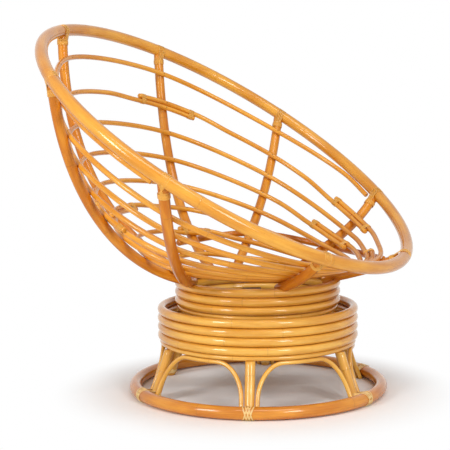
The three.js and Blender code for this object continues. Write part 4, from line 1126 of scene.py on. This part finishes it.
# Floor, light and camera. A white studio sweep that fades to plain white behind the chair's shadow,
# under broad soft lamps, seen as in the photograph.
FLOOR_HALF = 12
SHADOW_RADIUS = 0.33
WHITE_RADIUS = 0.54
WORLD_LIGHT = 0.31
CAMERA_PLACE = (-2.783, -1.386, 0.741)
CAMERA_YAW = 63.26
CAMERA_PITCH = -5.8
CAMERA_ROLL = -0.49


def seen_rays(tree):
    """One for what the camera sees, also in shine and glass, and nothing for light on the chair."""
    rays = tree.nodes.new("ShaderNodeLightPath")
    shines = math_node(tree, "MAXIMUM", rays.outputs["Is Glossy Ray"], rays.outputs["Is Transmission Ray"])
    return math_node(tree, "MAXIMUM", rays.outputs["Is Camera Ray"], shines)


def mix_shaders(tree, share, lit, shown, result):
    swap = tree.nodes.new("ShaderNodeMixShader")
    feed(tree, swap, {0: share, 1: lit, 2: shown})
    tree.links.new(swap.outputs[0], result)


def studio_white():
    material, tree, paint = new_material("studio white")
    feed(tree, paint, {"Base Color": (0.97, 0.97, 0.97), "Roughness": 0.6})
    place = tree.nodes.new("ShaderNodeTexCoord")
    centred = tree.nodes.new("ShaderNodeMapping")
    feed(tree, centred, {"Vector": place.outputs["Object"], "Location": (0, AXIS_SET_FORWARD, 0)})
    away = tree.nodes.new("ShaderNodeVectorMath")
    away.operation = "LENGTH"
    feed(tree, away, {0: centred.outputs[0]})
    far = range_node(tree, away.outputs["Value"], SHADOW_RADIUS, WHITE_RADIUS)
    glow = tree.nodes.new("ShaderNodeEmission")
    share = math_node(tree, "MULTIPLY", far, seen_rays(tree))
    mix_shaders(tree, share, paint.outputs[0], glow.outputs[0], tree.nodes["Material Output"].inputs[0])
    return material


bm = bmesh.new()
bmesh.ops.create_grid(bm, x_segments=1, y_segments=1, size=FLOOR_HALF)
add_object("studio_floor", bm, studio_white(), smooth=False)

world = bpy.data.worlds.new("studio")
bpy.context.scene.world = world
world.use_nodes = True
tree = world.node_tree
backdrop = tree.nodes["Background"]
feed(tree, backdrop, {"Color": (1, 1, 1), "Strength": WORLD_LIGHT})
seen = tree.nodes.new("ShaderNodeBackground")
feed(tree, seen, {"Color": (1, 1, 1), "Strength": 1.0})
mix_shaders(tree, seen_rays(tree), backdrop.outputs[0], seen.outputs[0], tree.nodes["World Output"].inputs[0])


def lamp(name, place, aim, size, power):
    data = bpy.data.lights.new(name, "AREA")
    data.shape = "RECTANGLE"
    data.size, data.size_y = size
    data.energy = power
    light = bpy.data.objects.new(name, data)
    light.location = place
    light.rotation_euler = (Vector(aim) - Vector(place)).to_track_quat("-Z", "Y").to_euler()
    bpy.context.scene.collection.objects.link(light)


lamp("left softbox", place=(-3.1, 1.0, 1.65), aim=(0, 0, 0.2), size=(0.8, 1.1), power=48)
lamp("right softbox", place=(-1.8, -2.85, 1.65), aim=(0, 0, 0.2), size=(0.8, 1.1), power=38)
lamp("ceiling softbox", place=(-1.2, -1.0, 3.1), aim=(0, 0, 0.5), size=(2.4, 0.8), power=33)

camera_data = bpy.data.cameras.new("camera")
camera_data.sensor_width = 36
camera_data.lens = 96.3
camera = bpy.data.objects.new("camera", camera_data)
yaw, pitch = math.radians(CAMERA_YAW), math.radians(CAMERA_PITCH)
look = Vector((math.sin(yaw) * math.cos(pitch), math.cos(yaw) * math.cos(pitch), math.sin(pitch)))
turn = look.to_track_quat("-Z", "Y").to_matrix().to_4x4() @ Matrix.Rotation(math.radians(CAMERA_ROLL), 4, "Z")
camera.matrix_world = Matrix.Translation(CAMERA_PLACE) @ turn
bpy.context.scene.collection.objects.link(camera)
bpy.context.scene.camera = camera
bpy.context.scene.view_settings.view_transform = "Standard"
